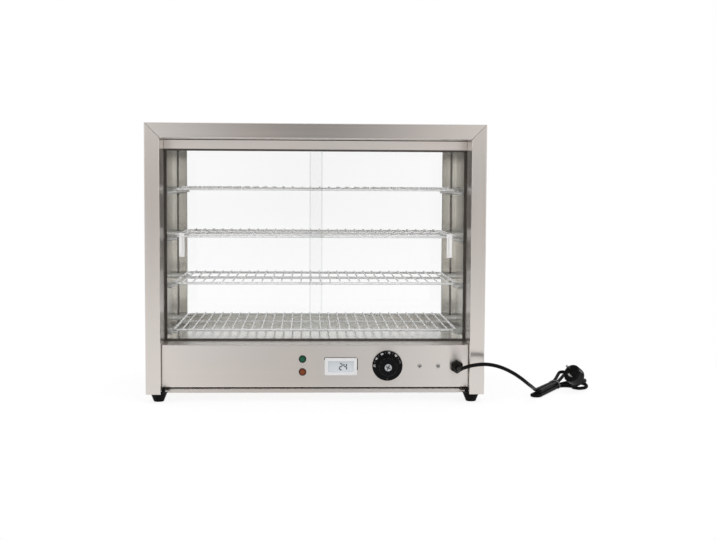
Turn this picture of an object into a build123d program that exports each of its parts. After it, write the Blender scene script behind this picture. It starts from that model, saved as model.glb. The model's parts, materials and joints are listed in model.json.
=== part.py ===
from build123d import *
import os
from math import cos, pi, radians, sin, tan

# Overall size of the case on its feet
case_width = 650.0
case_depth = 420.0
case_height = 535.0

# Sheet metal
sheet = 1.0
bend_radius = 1.5
near_flange = 28.5
far_flange = 40.0
mitre_gap = 0.8
edge_gap = 0.5
skirt_bottom = 17.0

# Heated chamber
wall_cavity = 11.0
wall_far_flange = 8.0
wall_bottom = 34.0
roof_cavity = 33.0
roof_upstand = 10.0
floor_top = 112.0
floor_front_gap = 2.0

# Door side, with depths counted from the near face of the posts
reveal_depth = 72.0
header_height = 18.5
soffit_depth = 90.0

# Sliding doors and their tracks
glass_thickness = 4.0
door_overlap = 26.0
door_edge_clearance = 1.0
track_rib = 1.5
track_base = 1.2
track_clearance = 0.5
door_pitch = 11.0
bottom_track_height = 3.0
top_track_drop = 3.5
seal_lip_inset = 3.5
door_top_engagement = 11.5
pull_width = 11.0
pull_height = 47.0
pull_thickness = 4.5
pull_inset = 33.0
pull_centre_z = 300.0
pull_groove = 1.6
pull_groove_end = 7.0

# Fixed pane on the customer side
stile_width = 17.0
stile_gap = 4.5
retainer_sill = 16.0
retainer_head = 7.5
retainer_depth = 7.0
pane_cover = 12.0
gasket_depth = 4.0
gasket_cover = 2.0
lower_panel_height = 126.0
lower_panel_hem = 12.0

# Base pan and feet
pan_lip_setback = 30.0
pan_lip_bottom = 15.5
pan_lip_half_length = 281.0
pan_ear_setback = 4.0
pan_far_setback = 2.0
foot_height = 22.5
foot_top_diameter = 37.0
foot_base_diameter = 19.0
foot_inset_x = 22.0
foot_inset_y = 27.0
foot_recess_diameter = 11.0
foot_recess_depth = 11.0
foot_screw_diameter = 5.0
foot_screw_head = 9.2
foot_screw_head_height = 3.5
weld_nut_diameter = 10.0
weld_nut_height = 4.0

# Control panel
panel_setback = 15.0
panel_bottom = 29.0
panel_end_gap = 1.0
panel_return = 25.0
panel_tab_depth = 45.0
shield_depth = 97.0

# Pilot lamps
lamp_inset = 322.0
lamp_green_z = 83.5
lamp_amber_z = 58.5
lamp_diameter = 13.0
lamp_reach = 4.2
lamp_flange = 1.4
lamp_barrel = 9.6
lamp_barrel_length = 24.0
lamp_nut_diameter = 15.0
lamp_nut_height = 3.0
lamp_blade_length = 8.0

# Digital thermometer
meter_inset = 248.0
meter_z = 69.0
meter_width = 62.5
meter_height = 33.5
meter_bezel = 3.0
meter_corner = 2.5
meter_body_depth = 17.0
meter_body_margin = 2.5
display_width = 49.0
display_height = 21.0
display_recess = 1.2
display_thickness = 1.0

# Thermostat and its knob
dial_inset = 157.9
dial_z = 70.8
knob_skirt_diameter = 58.5
knob_skirt_edge = 1.8
knob_skirt_height = 4.2
knob_grip_base = 38.0
knob_grip_tip = 34.0
knob_height = 27.0
knob_panel_gap = 0.8
knob_cap_diameter = 14.0
knob_cap_height = 1.5
spindle_diameter = 6.0
spindle_clearance = 0.05
spindle_in_knob = 22.0
spindle_in_body = 18.0
bushing_diameter = 10.0
thermostat_width = 42.0
thermostat_height = 36.0
thermostat_depth = 30.0
capillary_diameter = 2.0
bulb_diameter = 6.0
bulb_length = 80.0
probe_diameter = 5.0
probe_length = 30.0
probe_lead_diameter = 2.6

# Terminal block behind the panel
block_inset = 77.5
block_z = 69.7
block_screw_spacing = 35.6
block_width = 48.0
block_height = 20.0
block_depth = 16.0
block_screw_diameter = 4.0
block_screw_head = 8.0
block_screw_head_height = 2.6
block_wire_bore = 3.2
block_wire_pitch = 9.0

# Cable gland
gland_inset = 24.0
gland_z = 69.7
gland_flats = 22.0
gland_thread = 16.0
gland_flange = 3.5
gland_nose = 27.0
gland_nose_tip = 11.0
gland_nut_hex = 10.0
gland_neck = 14.0
gland_tail = 14.0
locknut_height = 4.0
gland_bore_clearance = 0.3

# Heating element under the chamber floor
element_diameter = 8.0
element_drop = 19.0
element_leg_x = 40.0
element_loop_x = 120.0
element_edge_x = 220.0
element_near = 150.0
element_inner_far_gap = 85.0
element_far_gap = 42.0
element_bend = 18.0
element_terminal_depth = 84.0
bracket_near_inset = 55.0
bracket_far_inset = 45.0
bracket_thickness = 1.2
bracket_margin = 14.0

# Wire shelves and their pegs
shelf_count = 4
shelf_first_z = 130.0
shelf_pitch = 93.3
shelf_front = 100.5
shelf_back_gap = 8.0
shelf_side_gap = 32.0
shelf_corner = 9.0
frame_wire = 5.0
rung_wire = 3.0
rung_count = 28
rung_weld = 0.5
peg_shoulder = 12.0
peg_spigot = 6.0
peg_side_gap = 1.5
peg_reach = 6.0
peg_inset = 20.0
seat_gap = 0.3

# Mains cord, hank and plug
cord_diameter = 7.0
hank_gap = 172.0
hank_depth = 170.0
hank_heading = 61.5
hank_entry_run = 90.0
hank_run = 120.0
hank_fold = 11.5
hank_step = 8.0
hank_layer = 7.7
hank_base_z = 4.5
hank_tie_run = 9.0
loop_rise_radius = 60.0
loop_slope = 17.0
loop_run = 33.0
elbow_radius = 24.0
elbow_turn = 97.0
bent_run = 23.0
bent_fold = 13.5
lead_spread = 11.0
lead_radius = 11.0
lead_turn = 98.0
lead_tilt_radius = 16.0
lead_tilt = 28.0
tie_width = 8.0
tie_thickness = 0.6
tie_clearance = 0.3
plug_length = 48.0
plug_diameter = 37.0
plug_tail_diameter = 12.0
plug_tail_length = 16.0
plug_roll = 30.0
pin_diameter = 4.8
pin_length = 19.0
pin_spacing = 19.0
earth_strip_width = 5.0

# Places worked out from the sizes above
half_width = case_width / 2
front_reach = max(knob_height + knob_cap_height, gland_nose) - panel_setback
near_y = -(case_depth + front_reach) / 2 + front_reach
far_y = near_y + case_depth
jamb_x = half_width - near_flange
far_jamb_x = half_width - far_flange
soffit_z = case_height - near_flange
far_soffit_z = case_height - far_flange
header_bottom = soffit_z - header_height
chamber_x = half_width - wall_cavity
ceiling_z = case_height - roof_cavity
base_top = foot_height + sheet
ledge_top = floor_top - sheet
panel_y = near_y + panel_setback
lamp_x = jamb_x - lamp_inset
meter_x = jamb_x - meter_inset
dial_x = jamb_x - dial_inset
block_x = jamb_x - block_inset
gland_x = jamb_x - gland_inset
hank_x = half_width + hank_gap
track_y = near_y + reveal_depth + sheet
groove = glass_thickness + 2 * track_clearance
track_end_y = track_y + 2 * track_rib + groove + door_pitch
seal_x = jamb_x - seal_lip_inset
door_edge_x = jamb_x + edge_gap
door_width = door_edge_x + door_overlap / 2
door_bottom = ledge_top + track_base + track_clearance
door_top = header_bottom - top_track_drop + door_top_engagement
near_glass_y = track_y + track_rib + track_clearance
gasket_y = far_y - sheet - gasket_depth
pane_y = gasket_y - glass_thickness
retainer_y = pane_y - retainer_depth
shelf_x = chamber_x - shelf_side_gap
shelf_near_y = near_y + shelf_front
shelf_far_y = retainer_y - shelf_back_gap
element_z = ledge_top - element_drop
shelf_heights = [shelf_first_z + shelf_pitch * i for i in range(shelf_count)]


def prism_xy(points, z0, z1):
    """Closed outline in plan, raised from z0 to z1."""
    return Pos(0, 0, z0) * extrude(make_face(Polyline(*points, close=True)), amount=z1 - z0)


def prism_yz(points, x0, x1):
    """Closed outline seen from the side, run from x0 to x1."""
    return Plane.YZ.offset(x0) * extrude(make_face(Polyline(*points, close=True)), amount=x1 - x0)


def prism_xz(points, y0, y1):
    """Closed outline seen from the near side, run from y0 to y1."""
    return Plane.XZ.offset(-y1) * extrude(make_face(Polyline(*points, close=True)), amount=y1 - y0)


def rectangle(a0, b0, a1, b1):
    return [(a0, b0), (a1, b0), (a1, b1), (a0, b1)]


def folded(points, side):
    """Section of a sheet folded along an outer line, with its bends."""
    line = FilletPolyline(*points, radius=bend_radius)
    return make_face(offset(line, amount=sheet, side=side, closed=True))


def folded_along_x(points, side, half_length):
    section = folded(points, side)
    return Plane.YZ.offset(-half_length) * extrude(section, amount=2 * half_length)


def turned(points):
    """Solid of revolution about Z from an outline of radius and height."""
    face = Plane.XZ * make_face(Polyline(*points, close=True))
    return revolve(face, Axis.Z)


def on_panel(solid, x, z):
    """Stands a solid built along +Z on the control panel, facing out."""
    return Pos(x, panel_y, z) * Rot(90, 0, 0) * solid


def hexagon(flats, height):
    return extrude(RegularPolygon(flats / 2, 6, major_radius=False, rotation=30), amount=height)


def tube(path, diameter):
    return sweep(Plane(origin=path @ 0, z_dir=path % 0) * Circle(diameter / 2), path=path)


def frame_ring(x_out, z0_out, z1_out, x_in, z0_in, z1_in, y0, y1):
    """Rectangular ring standing in an XZ plane."""
    outer = prism_xz(rectangle(-x_out, z0_out, x_out, z1_out), y0, y1)
    inner = prism_xz(rectangle(-x_in, z0_in, x_in, z1_in), y0 - 1, y1 + 1)
    return outer - inner


# Case shell

def mitre_cut(inner_x, lower_z, gap, y0, y1, above):
    """Wedge above or below the mitre line of a right-hand corner."""
    top_x = half_width - sheet - gap
    top_z = case_height - sheet
    low_x = inner_x - gap
    over = 2 * sheet
    if above:
        points = [(low_x - over, lower_z - over), (top_x, top_z), (top_x, top_z + over),
                  (low_x - over, top_z + over)]
    else:
        points = [(half_width + over, top_z), (top_x, top_z), (low_x, lower_z), (low_x, lower_z - over),
                  (half_width + over, lower_z - over)]
    return prism_xz(points, y0, y1)


def side_panel():
    """Right-hand outer panel: post, jamb return, skin and far flange."""
    path = [(jamb_x, near_y + reveal_depth), (jamb_x, near_y), (half_width, near_y),
            (half_width, far_y), (far_jamb_x, far_y)]
    height = case_height - sheet - skirt_bottom
    shell = Pos(0, 0, skirt_bottom) * extrude(folded(path, Side.LEFT), amount=height)
    inside = half_width - 2 * sheet
    return_zone = rectangle(jamb_x - sheet, near_y + sheet, inside, near_y + reveal_depth + sheet)
    shell -= prism_xy(return_zone, skirt_bottom - sheet, base_top + sheet)
    shell -= prism_xy(return_zone, soffit_z, case_height)
    shell -= mitre_cut(jamb_x, soffit_z, 0, near_y - sheet, near_y + sheet, True)
    shell -= mitre_cut(far_jamb_x, far_soffit_z, 0, far_y - sheet, far_y + sheet, True)
    return shell


def top_panel():
    path = [(near_y + soffit_depth, soffit_z), (near_y, soffit_z), (near_y, case_height),
            (far_y, case_height), (far_y, far_soffit_z)]
    shell = folded_along_x(path, Side.RIGHT, half_width)
    end_zone = rectangle(jamb_x + sheet, soffit_z - sheet, half_width + sheet, case_height - sheet)
    soffit_end = prism_xz(end_zone, near_y + sheet, near_y + soffit_depth + sheet)
    deep = 2 * bend_radius
    for cut in (mitre_cut(jamb_x, soffit_z, mitre_gap, near_y - sheet, near_y + deep, False),
                mitre_cut(far_jamb_x, far_soffit_z, mitre_gap, far_y - deep, far_y + sheet, False),
                soffit_end):
        shell -= cut
        shell -= mirror(cut, Plane.YZ)
    return shell


def inner_wall():
    """Right-hand wall of the chamber with a flange at either end."""
    flange_y = near_y + reveal_depth
    far_flange_y = retainer_y + sheet
    path = [(jamb_x, flange_y), (chamber_x + sheet, flange_y), (chamber_x + sheet, far_flange_y),
            (chamber_x - wall_far_flange, far_flange_y)]
    wall = Pos(0, 0, wall_bottom) * extrude(folded(path, Side.LEFT), amount=ceiling_z - wall_bottom)
    flange_zone = rectangle(chamber_x - wall_far_flange - sheet, far_flange_y - 2 * bend_radius, chamber_x,
                            far_flange_y + sheet)
    return wall - prism_xy(flange_zone, wall_bottom - sheet, floor_top)


def inner_ceiling():
    edge = chamber_x + sheet
    upper = ceiling_z + roof_upstand
    path = [(-edge, upper), (-edge, ceiling_z), (edge, ceiling_z), (edge, upper)]
    length = pane_y - track_y
    return Plane.XZ.offset(-pane_y) * extrude(folded(path, Side.LEFT), amount=length)


def floor_plate():
    back_y = far_y - sheet
    path = [(track_end_y + floor_front_gap, floor_top), (back_y, floor_top), (back_y, base_top)]
    return folded_along_x(path, Side.RIGHT, chamber_x)


def door_header():
    web_y = near_y + reveal_depth
    path = [(web_y, header_bottom), (web_y, soffit_z), (near_y + soffit_depth, soffit_z)]
    return folded_along_x(path, Side.RIGHT, jamb_x - edge_gap)


def customer_lower_panel():
    path = [(far_y - lower_panel_hem, skirt_bottom), (far_y, skirt_bottom), (far_y, lower_panel_height)]
    return folded_along_x(path, Side.LEFT, far_jamb_x - mitre_gap)


def foot_places():
    x = half_width - foot_inset_x
    return [(sx * x, y) for y in (near_y + foot_inset_y, far_y - foot_inset_y) for sx in (-1, 1)]


def base_pan():
    far_edge = far_y - pan_far_setback
    lip_y = near_y + pan_lip_setback
    path = [(lip_y, pan_lip_bottom), (lip_y, base_top), (far_edge, base_top)]
    pan = folded_along_x(path, Side.RIGHT, pan_lip_half_length)
    side_x = half_width - sheet - edge_gap
    for sx in (-1, 1):
        ear = rectangle(sx * pan_lip_half_length, near_y + pan_ear_setback, sx * side_x, far_edge)
        pan += prism_xy(ear, base_top - sheet, base_top)
    for x, y in foot_places():
        pan += Pos(x, y, base_top + weld_nut_height / 2) * Cylinder(weld_nut_diameter / 2, weld_nut_height)
    thread = Cylinder(foot_screw_diameter / 2 + spindle_clearance, 4 * weld_nut_height)
    for x, y in foot_places():
        pan -= Pos(x, y, base_top) * thread
    return pan


def foot():
    hole = foot_screw_diameter / 2 + 4 * spindle_clearance
    recess = foot_recess_diameter / 2
    body = turned([(recess, 0), (foot_base_diameter / 2, 0), (foot_top_diameter / 2, foot_height),
                   (hole, foot_height), (hole, foot_recess_depth), (recess, foot_recess_depth)])
    rim = body.edges().filter_by(GeomType.CIRCLE).group_by(Axis.Z)[0].sort_by(SortBy.RADIUS)[-1]
    return fillet(rim, radius=sheet)


def foot_screw():
    radius = foot_screw_diameter / 2
    head = foot_screw_head / 2
    under = foot_recess_depth
    crown = under - foot_screw_head_height
    tip = base_top + weld_nut_height
    return turned([(0, crown), (head - sheet, crown), (head, crown + sheet), (head, under), (radius, under),
                   (radius, tip), (0, tip)])


# Customer side pane

def pane_edges():
    x = far_jamb_x + pane_cover
    return x, floor_top, far_soffit_z + pane_cover / 3


def customer_glass():
    x, z0, z1 = pane_edges()
    return prism_xz(rectangle(-x, z0, x, z1), pane_y, gasket_y)


def glass_gasket():
    x, z0, z1 = pane_edges()
    inner_x = far_jamb_x + gasket_cover
    return frame_ring(x, z0, z1, inner_x, lower_panel_height - gasket_cover, far_soffit_z + gasket_cover,
                      gasket_y, gasket_y + gasket_depth)


def glass_retainer():
    """Folded steel frame that holds the pane from inside the chamber."""
    x_out = chamber_x - wall_far_flange - stile_gap
    x_in = x_out - stile_width
    z0 = floor_top + retainer_sill
    z1 = ceiling_z - retainer_head
    face = frame_ring(x_out, floor_top, ceiling_z, x_in, z0, z1, retainer_y, retainer_y + sheet)
    rim = frame_ring(x_in + sheet, z0 - sheet, z1 + sheet, x_in, z0, z1, retainer_y, pane_y)
    return face + rim


# Door tracks

def comb(start, base, height, direction):
    """Outline of a double channel: two grooves between four ribs."""
    second = start + door_pitch
    ribs = [start, start + track_rib + groove, second, second + track_rib + groove]
    points = [(ribs[0] + edge_gap, 0), (ribs[0], direction * edge_gap)]
    for rib in ribs:
        points += [(rib, direction * height), (rib + track_rib, direction * height)]
        if rib != ribs[-1]:
            following = ribs[ribs.index(rib) + 1]
            points += [(rib + track_rib, direction * base), (following, direction * base)]
    return points + [(ribs[-1] + track_rib, 0)]


def bottom_track():
    points = [(y, ledge_top + h) for y, h in comb(track_y, track_base, bottom_track_height, 1)]
    return prism_yz(points, -seal_x, seal_x)


def top_track():
    height = ceiling_z - header_bottom + top_track_drop
    points = [(y, ceiling_z + h) for y, h in comb(track_y, track_base, height, -1)]
    return prism_yz(points, -seal_x, seal_x)


def door_seal():
    """Right-hand upright channel that the door edges run into."""
    base = chamber_x - door_edge_x - door_edge_clearance
    height = chamber_x - seal_x
    points = [(chamber_x + h, y) for y, h in comb(track_y, base, height, -1)]
    return prism_xy(points, ledge_top, ceiling_z)


def door_glass(side):
    """Pane of the left or right door; the right one runs nearer the user."""
    y0 = near_glass_y if side > 0 else near_glass_y + door_pitch
    x0 = side * door_edge_x
    pane = prism_xz(rectangle(x0, door_bottom, x0 - side * door_width, door_top), y0, y0 + glass_thickness)
    return chamfer(pane.edges().filter_by(Axis.Z), length=edge_gap)


def door_pull(side):
    """Bar glued to the pane, with a finger groove along its face."""
    y1 = near_glass_y if side > 0 else near_glass_y + door_pitch
    x = side * (jamb_x - pull_inset)
    block = Pos(x, y1 - pull_thickness / 2, pull_centre_z) * Box(pull_width, pull_thickness, pull_height)
    outer = block.faces().sort_by(Axis.Y)[0]
    bar = fillet(outer.edges(), radius=2 * edge_gap)
    radius = pull_width / 3
    groove_y = y1 - pull_thickness - radius + pull_groove
    return bar - Pos(x, groove_y, pull_centre_z) * Cylinder(radius, pull_height - 2 * pull_groove_end)


# Control panel and what it carries

def panel_hole(x, z, diameter):
    return Pos(x, panel_y, z) * Rot(90, 0, 0) * Cylinder(diameter / 2, 6 * sheet)


def meter_body_size():
    return meter_width - 2 * meter_body_margin, meter_height - 2 * meter_body_margin


def control_panel():
    half = jamb_x - panel_end_gap
    path = [(panel_y + panel_return, panel_bottom), (panel_y, panel_bottom), (panel_y, ledge_top),
            (near_y + shield_depth + sheet, ledge_top)]
    panel = folded_along_x(path, Side.RIGHT, half)
    for sx in (-1, 1):
        tab = rectangle(sx * half, panel_y + sheet / 2, sx * (half - sheet), panel_y + panel_tab_depth)
        panel += prism_xy(tab, panel_bottom + sheet / 2, ledge_top - sheet / 2)
    holes = [(lamp_x, lamp_green_z, lamp_barrel), (lamp_x, lamp_amber_z, lamp_barrel),
             (dial_x, dial_z, bushing_diameter), (gland_x, gland_z, gland_thread),
             (block_x - block_screw_spacing / 2, block_z, block_screw_diameter),
             (block_x + block_screw_spacing / 2, block_z, block_screw_diameter)]
    for x, z, diameter in holes:
        panel -= panel_hole(x, z, diameter + 2 * gland_bore_clearance)
    width, height = meter_body_size()
    panel -= Pos(meter_x, panel_y, meter_z) * Box(width + edge_gap, 6 * sheet, height + edge_gap)
    return panel


def lamp_lens(z):
    """Domed lens: a short cylinder under a spherical cap."""
    radius = lamp_diameter / 2
    rise = lamp_reach - lamp_flange
    sphere = (radius ** 2 + rise ** 2) / (2 * rise)
    cap = Pos(0, 0, lamp_reach - sphere) * Sphere(sphere)
    post = Cylinder(radius, lamp_reach, align=(Align.CENTER, Align.CENTER, Align.MIN))
    return on_panel(post & cap, lamp_x, z)


def lamp_body(z):
    radius = lamp_barrel / 2
    nut = lamp_nut_diameter / 2
    nut_end = -sheet - lamp_nut_height
    barrel = turned([(0, 0), (radius, 0), (radius, -sheet), (nut, -sheet), (nut, nut_end), (radius, nut_end),
                     (radius, -lamp_barrel_length), (0, -lamp_barrel_length)])
    for sx in (-1, 1):
        blade = Box(lamp_barrel / 4, sheet, lamp_blade_length)
        barrel += Pos(sx * radius / 2, 0, -lamp_barrel_length - lamp_blade_length / 2) * blade
    return on_panel(barrel, lamp_x, z)


def meter_housing():
    bezel = extrude(RectangleRounded(meter_width, meter_height, meter_corner), amount=meter_bezel)
    bezel = chamfer(bezel.faces().sort_by(Axis.Z)[-1].edges(), length=edge_gap)
    width, height = meter_body_size()
    body = Pos(0, 0, -meter_body_depth / 2) * Box(width, height, meter_body_depth)
    window = Pos(0, 0, meter_bezel - display_recess / 2 - display_thickness / 2)
    window *= Box(display_width, display_height, display_recess + display_thickness)
    return on_panel(bezel + body - window, meter_x, meter_z)


def meter_display():
    middle = meter_bezel - display_recess - display_thickness / 2
    plate = Pos(0, 0, middle) * Box(display_width, display_height, display_thickness)
    return on_panel(plate, meter_x, meter_z)


def knob():
    skirt = knob_skirt_diameter / 2
    base = knob_grip_base / 2
    tip = knob_grip_tip / 2
    bore = spindle_diameter / 2 + spindle_clearance
    cap = knob_cap_diameter / 2 + spindle_clearance
    seat = knob_height - sheet
    edge = knob_panel_gap + knob_skirt_edge
    body = turned([(bore, knob_panel_gap), (skirt, knob_panel_gap), (skirt, edge), (base, knob_skirt_height),
                   (tip, knob_height), (cap, knob_height), (cap, seat), (0, seat), (0, spindle_in_knob),
                   (bore, spindle_in_knob)])
    rim = body.edges().filter_by(GeomType.CIRCLE).group_by(Axis.Z)[-1].sort_by(SortBy.RADIUS)[-1]
    return on_panel(fillet(rim, radius=2 * sheet), dial_x, dial_z)


def knob_cap():
    radius = knob_cap_diameter / 2
    seat = knob_height - sheet
    crown = knob_height + knob_cap_height
    disc = turned([(0, seat), (radius, seat), (radius, crown), (0, crown)])
    rim = disc.edges().filter_by(GeomType.CIRCLE).group_by(Axis.Z)[-1]
    return on_panel(fillet(rim, radius=knob_cap_height * 0.8), dial_x, dial_z)


def thermostat_spindle():
    radius = spindle_diameter / 2
    return on_panel(turned([(0, -spindle_in_body), (radius, -spindle_in_body), (radius, spindle_in_knob),
                            (0, spindle_in_knob)]), dial_x, dial_z)


def thermostat_body():
    """Capillary thermostat clamped behind the panel by its bushing plate."""
    plate = Pos(0, 0, -1.5 * sheet) * Box(thermostat_width, thermostat_height * 0.6, sheet)
    bushing = Pos(0, 0, -sheet) * Cylinder(bushing_diameter / 2, 2 * sheet)
    outline = RectangleRounded(thermostat_width, thermostat_height, 3 * sheet)
    body = plate + bushing + Pos(0, 0, -2 * sheet) * extrude(outline, amount=-thermostat_depth)
    depth = spindle_in_body + spindle_clearance
    body -= Cylinder(spindle_diameter / 2 + spindle_clearance, 2 * depth)
    return on_panel(body, dial_x, dial_z)


def sensor(start, turn_z, bulb_x, bulb_y, bulb_radius, length, lead):
    """Bulb lying under the chamber floor with its lead from the panel."""
    bulb_z = ledge_top - bulb_radius - seat_gap
    behind_shield = (start[0], near_y + shield_depth + element_bend, turn_z)
    bulb_end = (bulb_x, bulb_y, bulb_z)
    path = FilletPolyline(start, behind_shield, (bulb_x - element_bend, bulb_y, bulb_z), bulb_end,
                          radius=2 * bulb_radius)
    bulb = Pos(bulb_x + length / 2, bulb_y, bulb_z) * Rot(0, 90, 0) * Cylinder(bulb_radius, length)
    return tube(path, lead) + bulb


def capillary_start():
    return (dial_x, panel_y + 2 * sheet + thermostat_depth, dial_z + thermostat_height / 4)


def probe_start():
    return (meter_x, panel_y + meter_body_depth, meter_z)


def thermostat_bulb():
    x, y, z = capillary_start()
    return sensor((x, y, z), z, dial_x + 2 * element_bend, near_y + element_near - element_bend,
                  bulb_diameter / 2, bulb_length, capillary_diameter)


def thermometer_probe():
    x, y, z = probe_start()
    return sensor((x, y, z), z, meter_x + 2 * element_bend, near_y + element_near - element_bend,
                  probe_diameter / 2, probe_length, probe_lead_diameter)


def block_screw_places():
    return [(block_x + s * block_screw_spacing / 2, block_z) for s in (-1, 1)]


def terminal_block():
    body = Pos(0, 0, -sheet - block_depth / 2) * Box(block_width, block_height, block_depth)
    body = fillet(body.edges().filter_by(Axis.Z), radius=sheet)
    wire_bore = Rot(90, 0, 0) * Cylinder(block_wire_bore / 2, 2 * block_height)
    for s in (-1, 0, 1):
        body -= Pos(s * block_wire_pitch, 0, -sheet - block_depth / 2) * wire_bore
    placed = on_panel(body, block_x, block_z)
    for x, z in block_screw_places():
        bore = Cylinder(block_screw_diameter / 2 + spindle_clearance, 4 * block_depth)
        placed -= on_panel(bore, x, z)
    return placed


def terminal_screws():
    radius = block_screw_diameter / 2
    head = block_screw_head / 2
    tip = -sheet - block_depth
    screw = turned([(0, tip), (radius, tip), (radius, 0), (head, 0), (head, block_screw_head_height / 2),
                    (head * 0.7, block_screw_head_height), (0, block_screw_head_height)])
    return [on_panel(screw, x, z) for x, z in block_screw_places()]


def gland_bore(length):
    return Cylinder(cord_diameter / 2 + gland_bore_clearance, 4 * length)


def gland_body():
    flange = hexagon(gland_flats, gland_flange)
    thread = Pos(0, 0, -gland_tail / 2) * Cylinder(gland_thread / 2, gland_tail)
    neck_height = gland_nose - gland_nut_hex
    neck = Pos(0, 0, neck_height / 2) * Cylinder(gland_neck / 2, neck_height)
    return on_panel(flange + thread + neck - gland_bore(gland_nose), gland_x, gland_z)


def gland_nut():
    """Domed nut with a hexagon next to the flange."""
    start = gland_flange + edge_gap
    hexed = Pos(0, 0, start) * hexagon(gland_flats, gland_nut_hex)
    shoulder = start + gland_nut_hex
    wide = gland_flats / 2
    dome = turned([(0, shoulder), (wide, shoulder), (wide - sheet, shoulder + 3 * sheet),
                   (gland_nose_tip / 2, gland_nose), (0, gland_nose)])
    neck_height = gland_nose - gland_nut_hex
    socket = Cylinder(gland_neck / 2 + gland_bore_clearance, neck_height + edge_gap,
                      align=(Align.CENTER, Align.CENTER, Align.MIN))
    return on_panel(hexed + dome - socket - gland_bore(gland_nose), gland_x, gland_z)


def gland_locknut():
    nut = hexagon(gland_flats, locknut_height)
    nut -= Cylinder(gland_thread / 2 + spindle_clearance, 4 * locknut_height)
    return on_panel(Pos(0, 0, -sheet - locknut_height) * nut, gland_x, gland_z)


# Heat source below the floor

def element_route():
    near = near_y + element_near
    inner = far_y - element_inner_far_gap
    far = far_y - element_far_gap
    start = near_y + element_terminal_depth
    right = [(element_edge_x, far), (element_edge_x, near), (element_loop_x, near), (element_loop_x, inner),
             (element_leg_x, inner), (element_leg_x, start)]
    left = [(-x, y) for x, y in reversed(right)]
    return [(x, y, element_z) for x, y in left + right]


def heating_element():
    return tube(FilletPolyline(*element_route(), radius=element_bend), element_diameter)


def element_brackets():
    """Two combs that hang from the floor and hold the tubes."""
    half = element_edge_x + bracket_margin
    near = near_y + element_near + bracket_near_inset
    far = far_y - element_inner_far_gap - bracket_far_inset
    brackets = []
    for y in (near, far):
        outline = rectangle(-half, element_z - bracket_margin, half, ledge_top)
        comb_plate = prism_xz(outline, y, y + bracket_thickness)
        for x in (element_leg_x, element_loop_x, element_edge_x):
            for sx in (-1, 1):
                hole = Cylinder(element_diameter / 2 + seat_gap, 4 * bracket_margin)
                comb_plate -= Pos(sx * x, y, element_z) * Rot(90, 0, 0) * hole
        brackets.append(comb_plate)
    return brackets


def heat_shield():
    y = near_y + shield_depth
    half = chamber_x - edge_gap
    plate = prism_xz(rectangle(-half, base_top, half, ledge_top - sheet), y, y + sheet)
    leads = [(element_leg_x, element_z, element_diameter), (-element_leg_x, element_z, element_diameter),
             (capillary_start()[0], capillary_start()[2], capillary_diameter),
             (probe_start()[0], probe_start()[2], probe_lead_diameter)]
    for x, z, diameter in leads:
        plate -= Pos(x, y, z) * Rot(90, 0, 0) * Cylinder(diameter / 2 + seat_gap, 6 * sheet)
    return plate


# Shelves

def peg_places():
    return [shelf_near_y + peg_inset, shelf_far_y - peg_inset]


def wire_shelf():
    """Welded wire shelf centred on z = 0 of its frame wire."""
    width = 2 * shelf_x
    depth = shelf_far_y - shelf_near_y
    middle = (shelf_near_y + shelf_far_y) / 2
    loop = Pos(0, middle, 0) * RectangleRounded(width, depth, shelf_corner)
    shelf = tube(loop.face().outer_wire(), frame_wire)
    crossbar = Pos(0, middle, 0) * Rot(0, 90, 0) * Cylinder(frame_wire / 2, width)
    rung_z = (frame_wire + rung_wire) / 2 - rung_weld
    rung_length = depth + frame_wire - 2 * rung_weld
    rung = Rot(90, 0, 0) * Cylinder(rung_wire / 2, rung_length)
    pitch = width / (rung_count + 1)
    rungs = [Pos(pitch * (i + 1) - shelf_x, middle, rung_z) * rung for i in range(rung_count)]
    return shelf + [crossbar] + rungs


def shelf_pegs():
    """Shouldered studs on the side walls, four to a shelf."""
    shoulder_x = shelf_x + frame_wire / 2 + peg_side_gap
    tip_x = shelf_x - peg_reach
    stud = turned([(0, 0), (peg_shoulder / 2, 0), (peg_shoulder / 2, chamber_x - shoulder_x),
                   (peg_spigot / 2, chamber_x - shoulder_x), (peg_spigot / 2, chamber_x - tip_x),
                   (0, chamber_x - tip_x)])
    pegs = []
    for height in shelf_heights:
        z = height - frame_wire / 2 - seat_gap - peg_spigot / 2
        for y in peg_places():
            for sx in (-1, 1):
                pegs.append(Pos(sx * chamber_x, y, z) * Rot(0, -90 * sx, 0) * stud)
    return pegs


# Mains cord

def cord_tail():
    """Length of cord inside the gland and the control box."""
    length = gland_nose + gland_tail + 2 * locknut_height
    core = Pos(0, 0, gland_nose - length / 2) * Cylinder(cord_diameter / 2, length)
    return on_panel(core, gland_x, gland_z)


hank_place = Pos(hank_x, near_y + hank_depth, 0) * Rot(0, 0, hank_heading)
low_layer = hank_base_z
high_layer = hank_base_z + hank_layer
onward = Vector(1, 0, 0)
aside = onward.rotate(Axis.Z, -elbow_turn)


def sway(start, end, heading):
    """Two equal arcs that leave and arrive along the same heading."""
    middle = (start + end) * 0.5
    first = TangentArc(start, middle, tangent=heading)
    return [first, TangentArc(middle, end, tangent=first % 1)]


def strand(run, fold, waist, z0, z1):
    """Three places of a strand: its folded end and both sides of the tie."""
    return [Vector(-run, fold, z0), Vector(-hank_tie_run, waist, z1), Vector(0, waist, z1)]


def to_tie(places):
    end, before, after = places
    return sway(end, before, onward) + [Line(before, after)]


def from_tie(places):
    end, before, after = places
    return [Line(after, before)] + sway(before, end, -onward)


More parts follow.
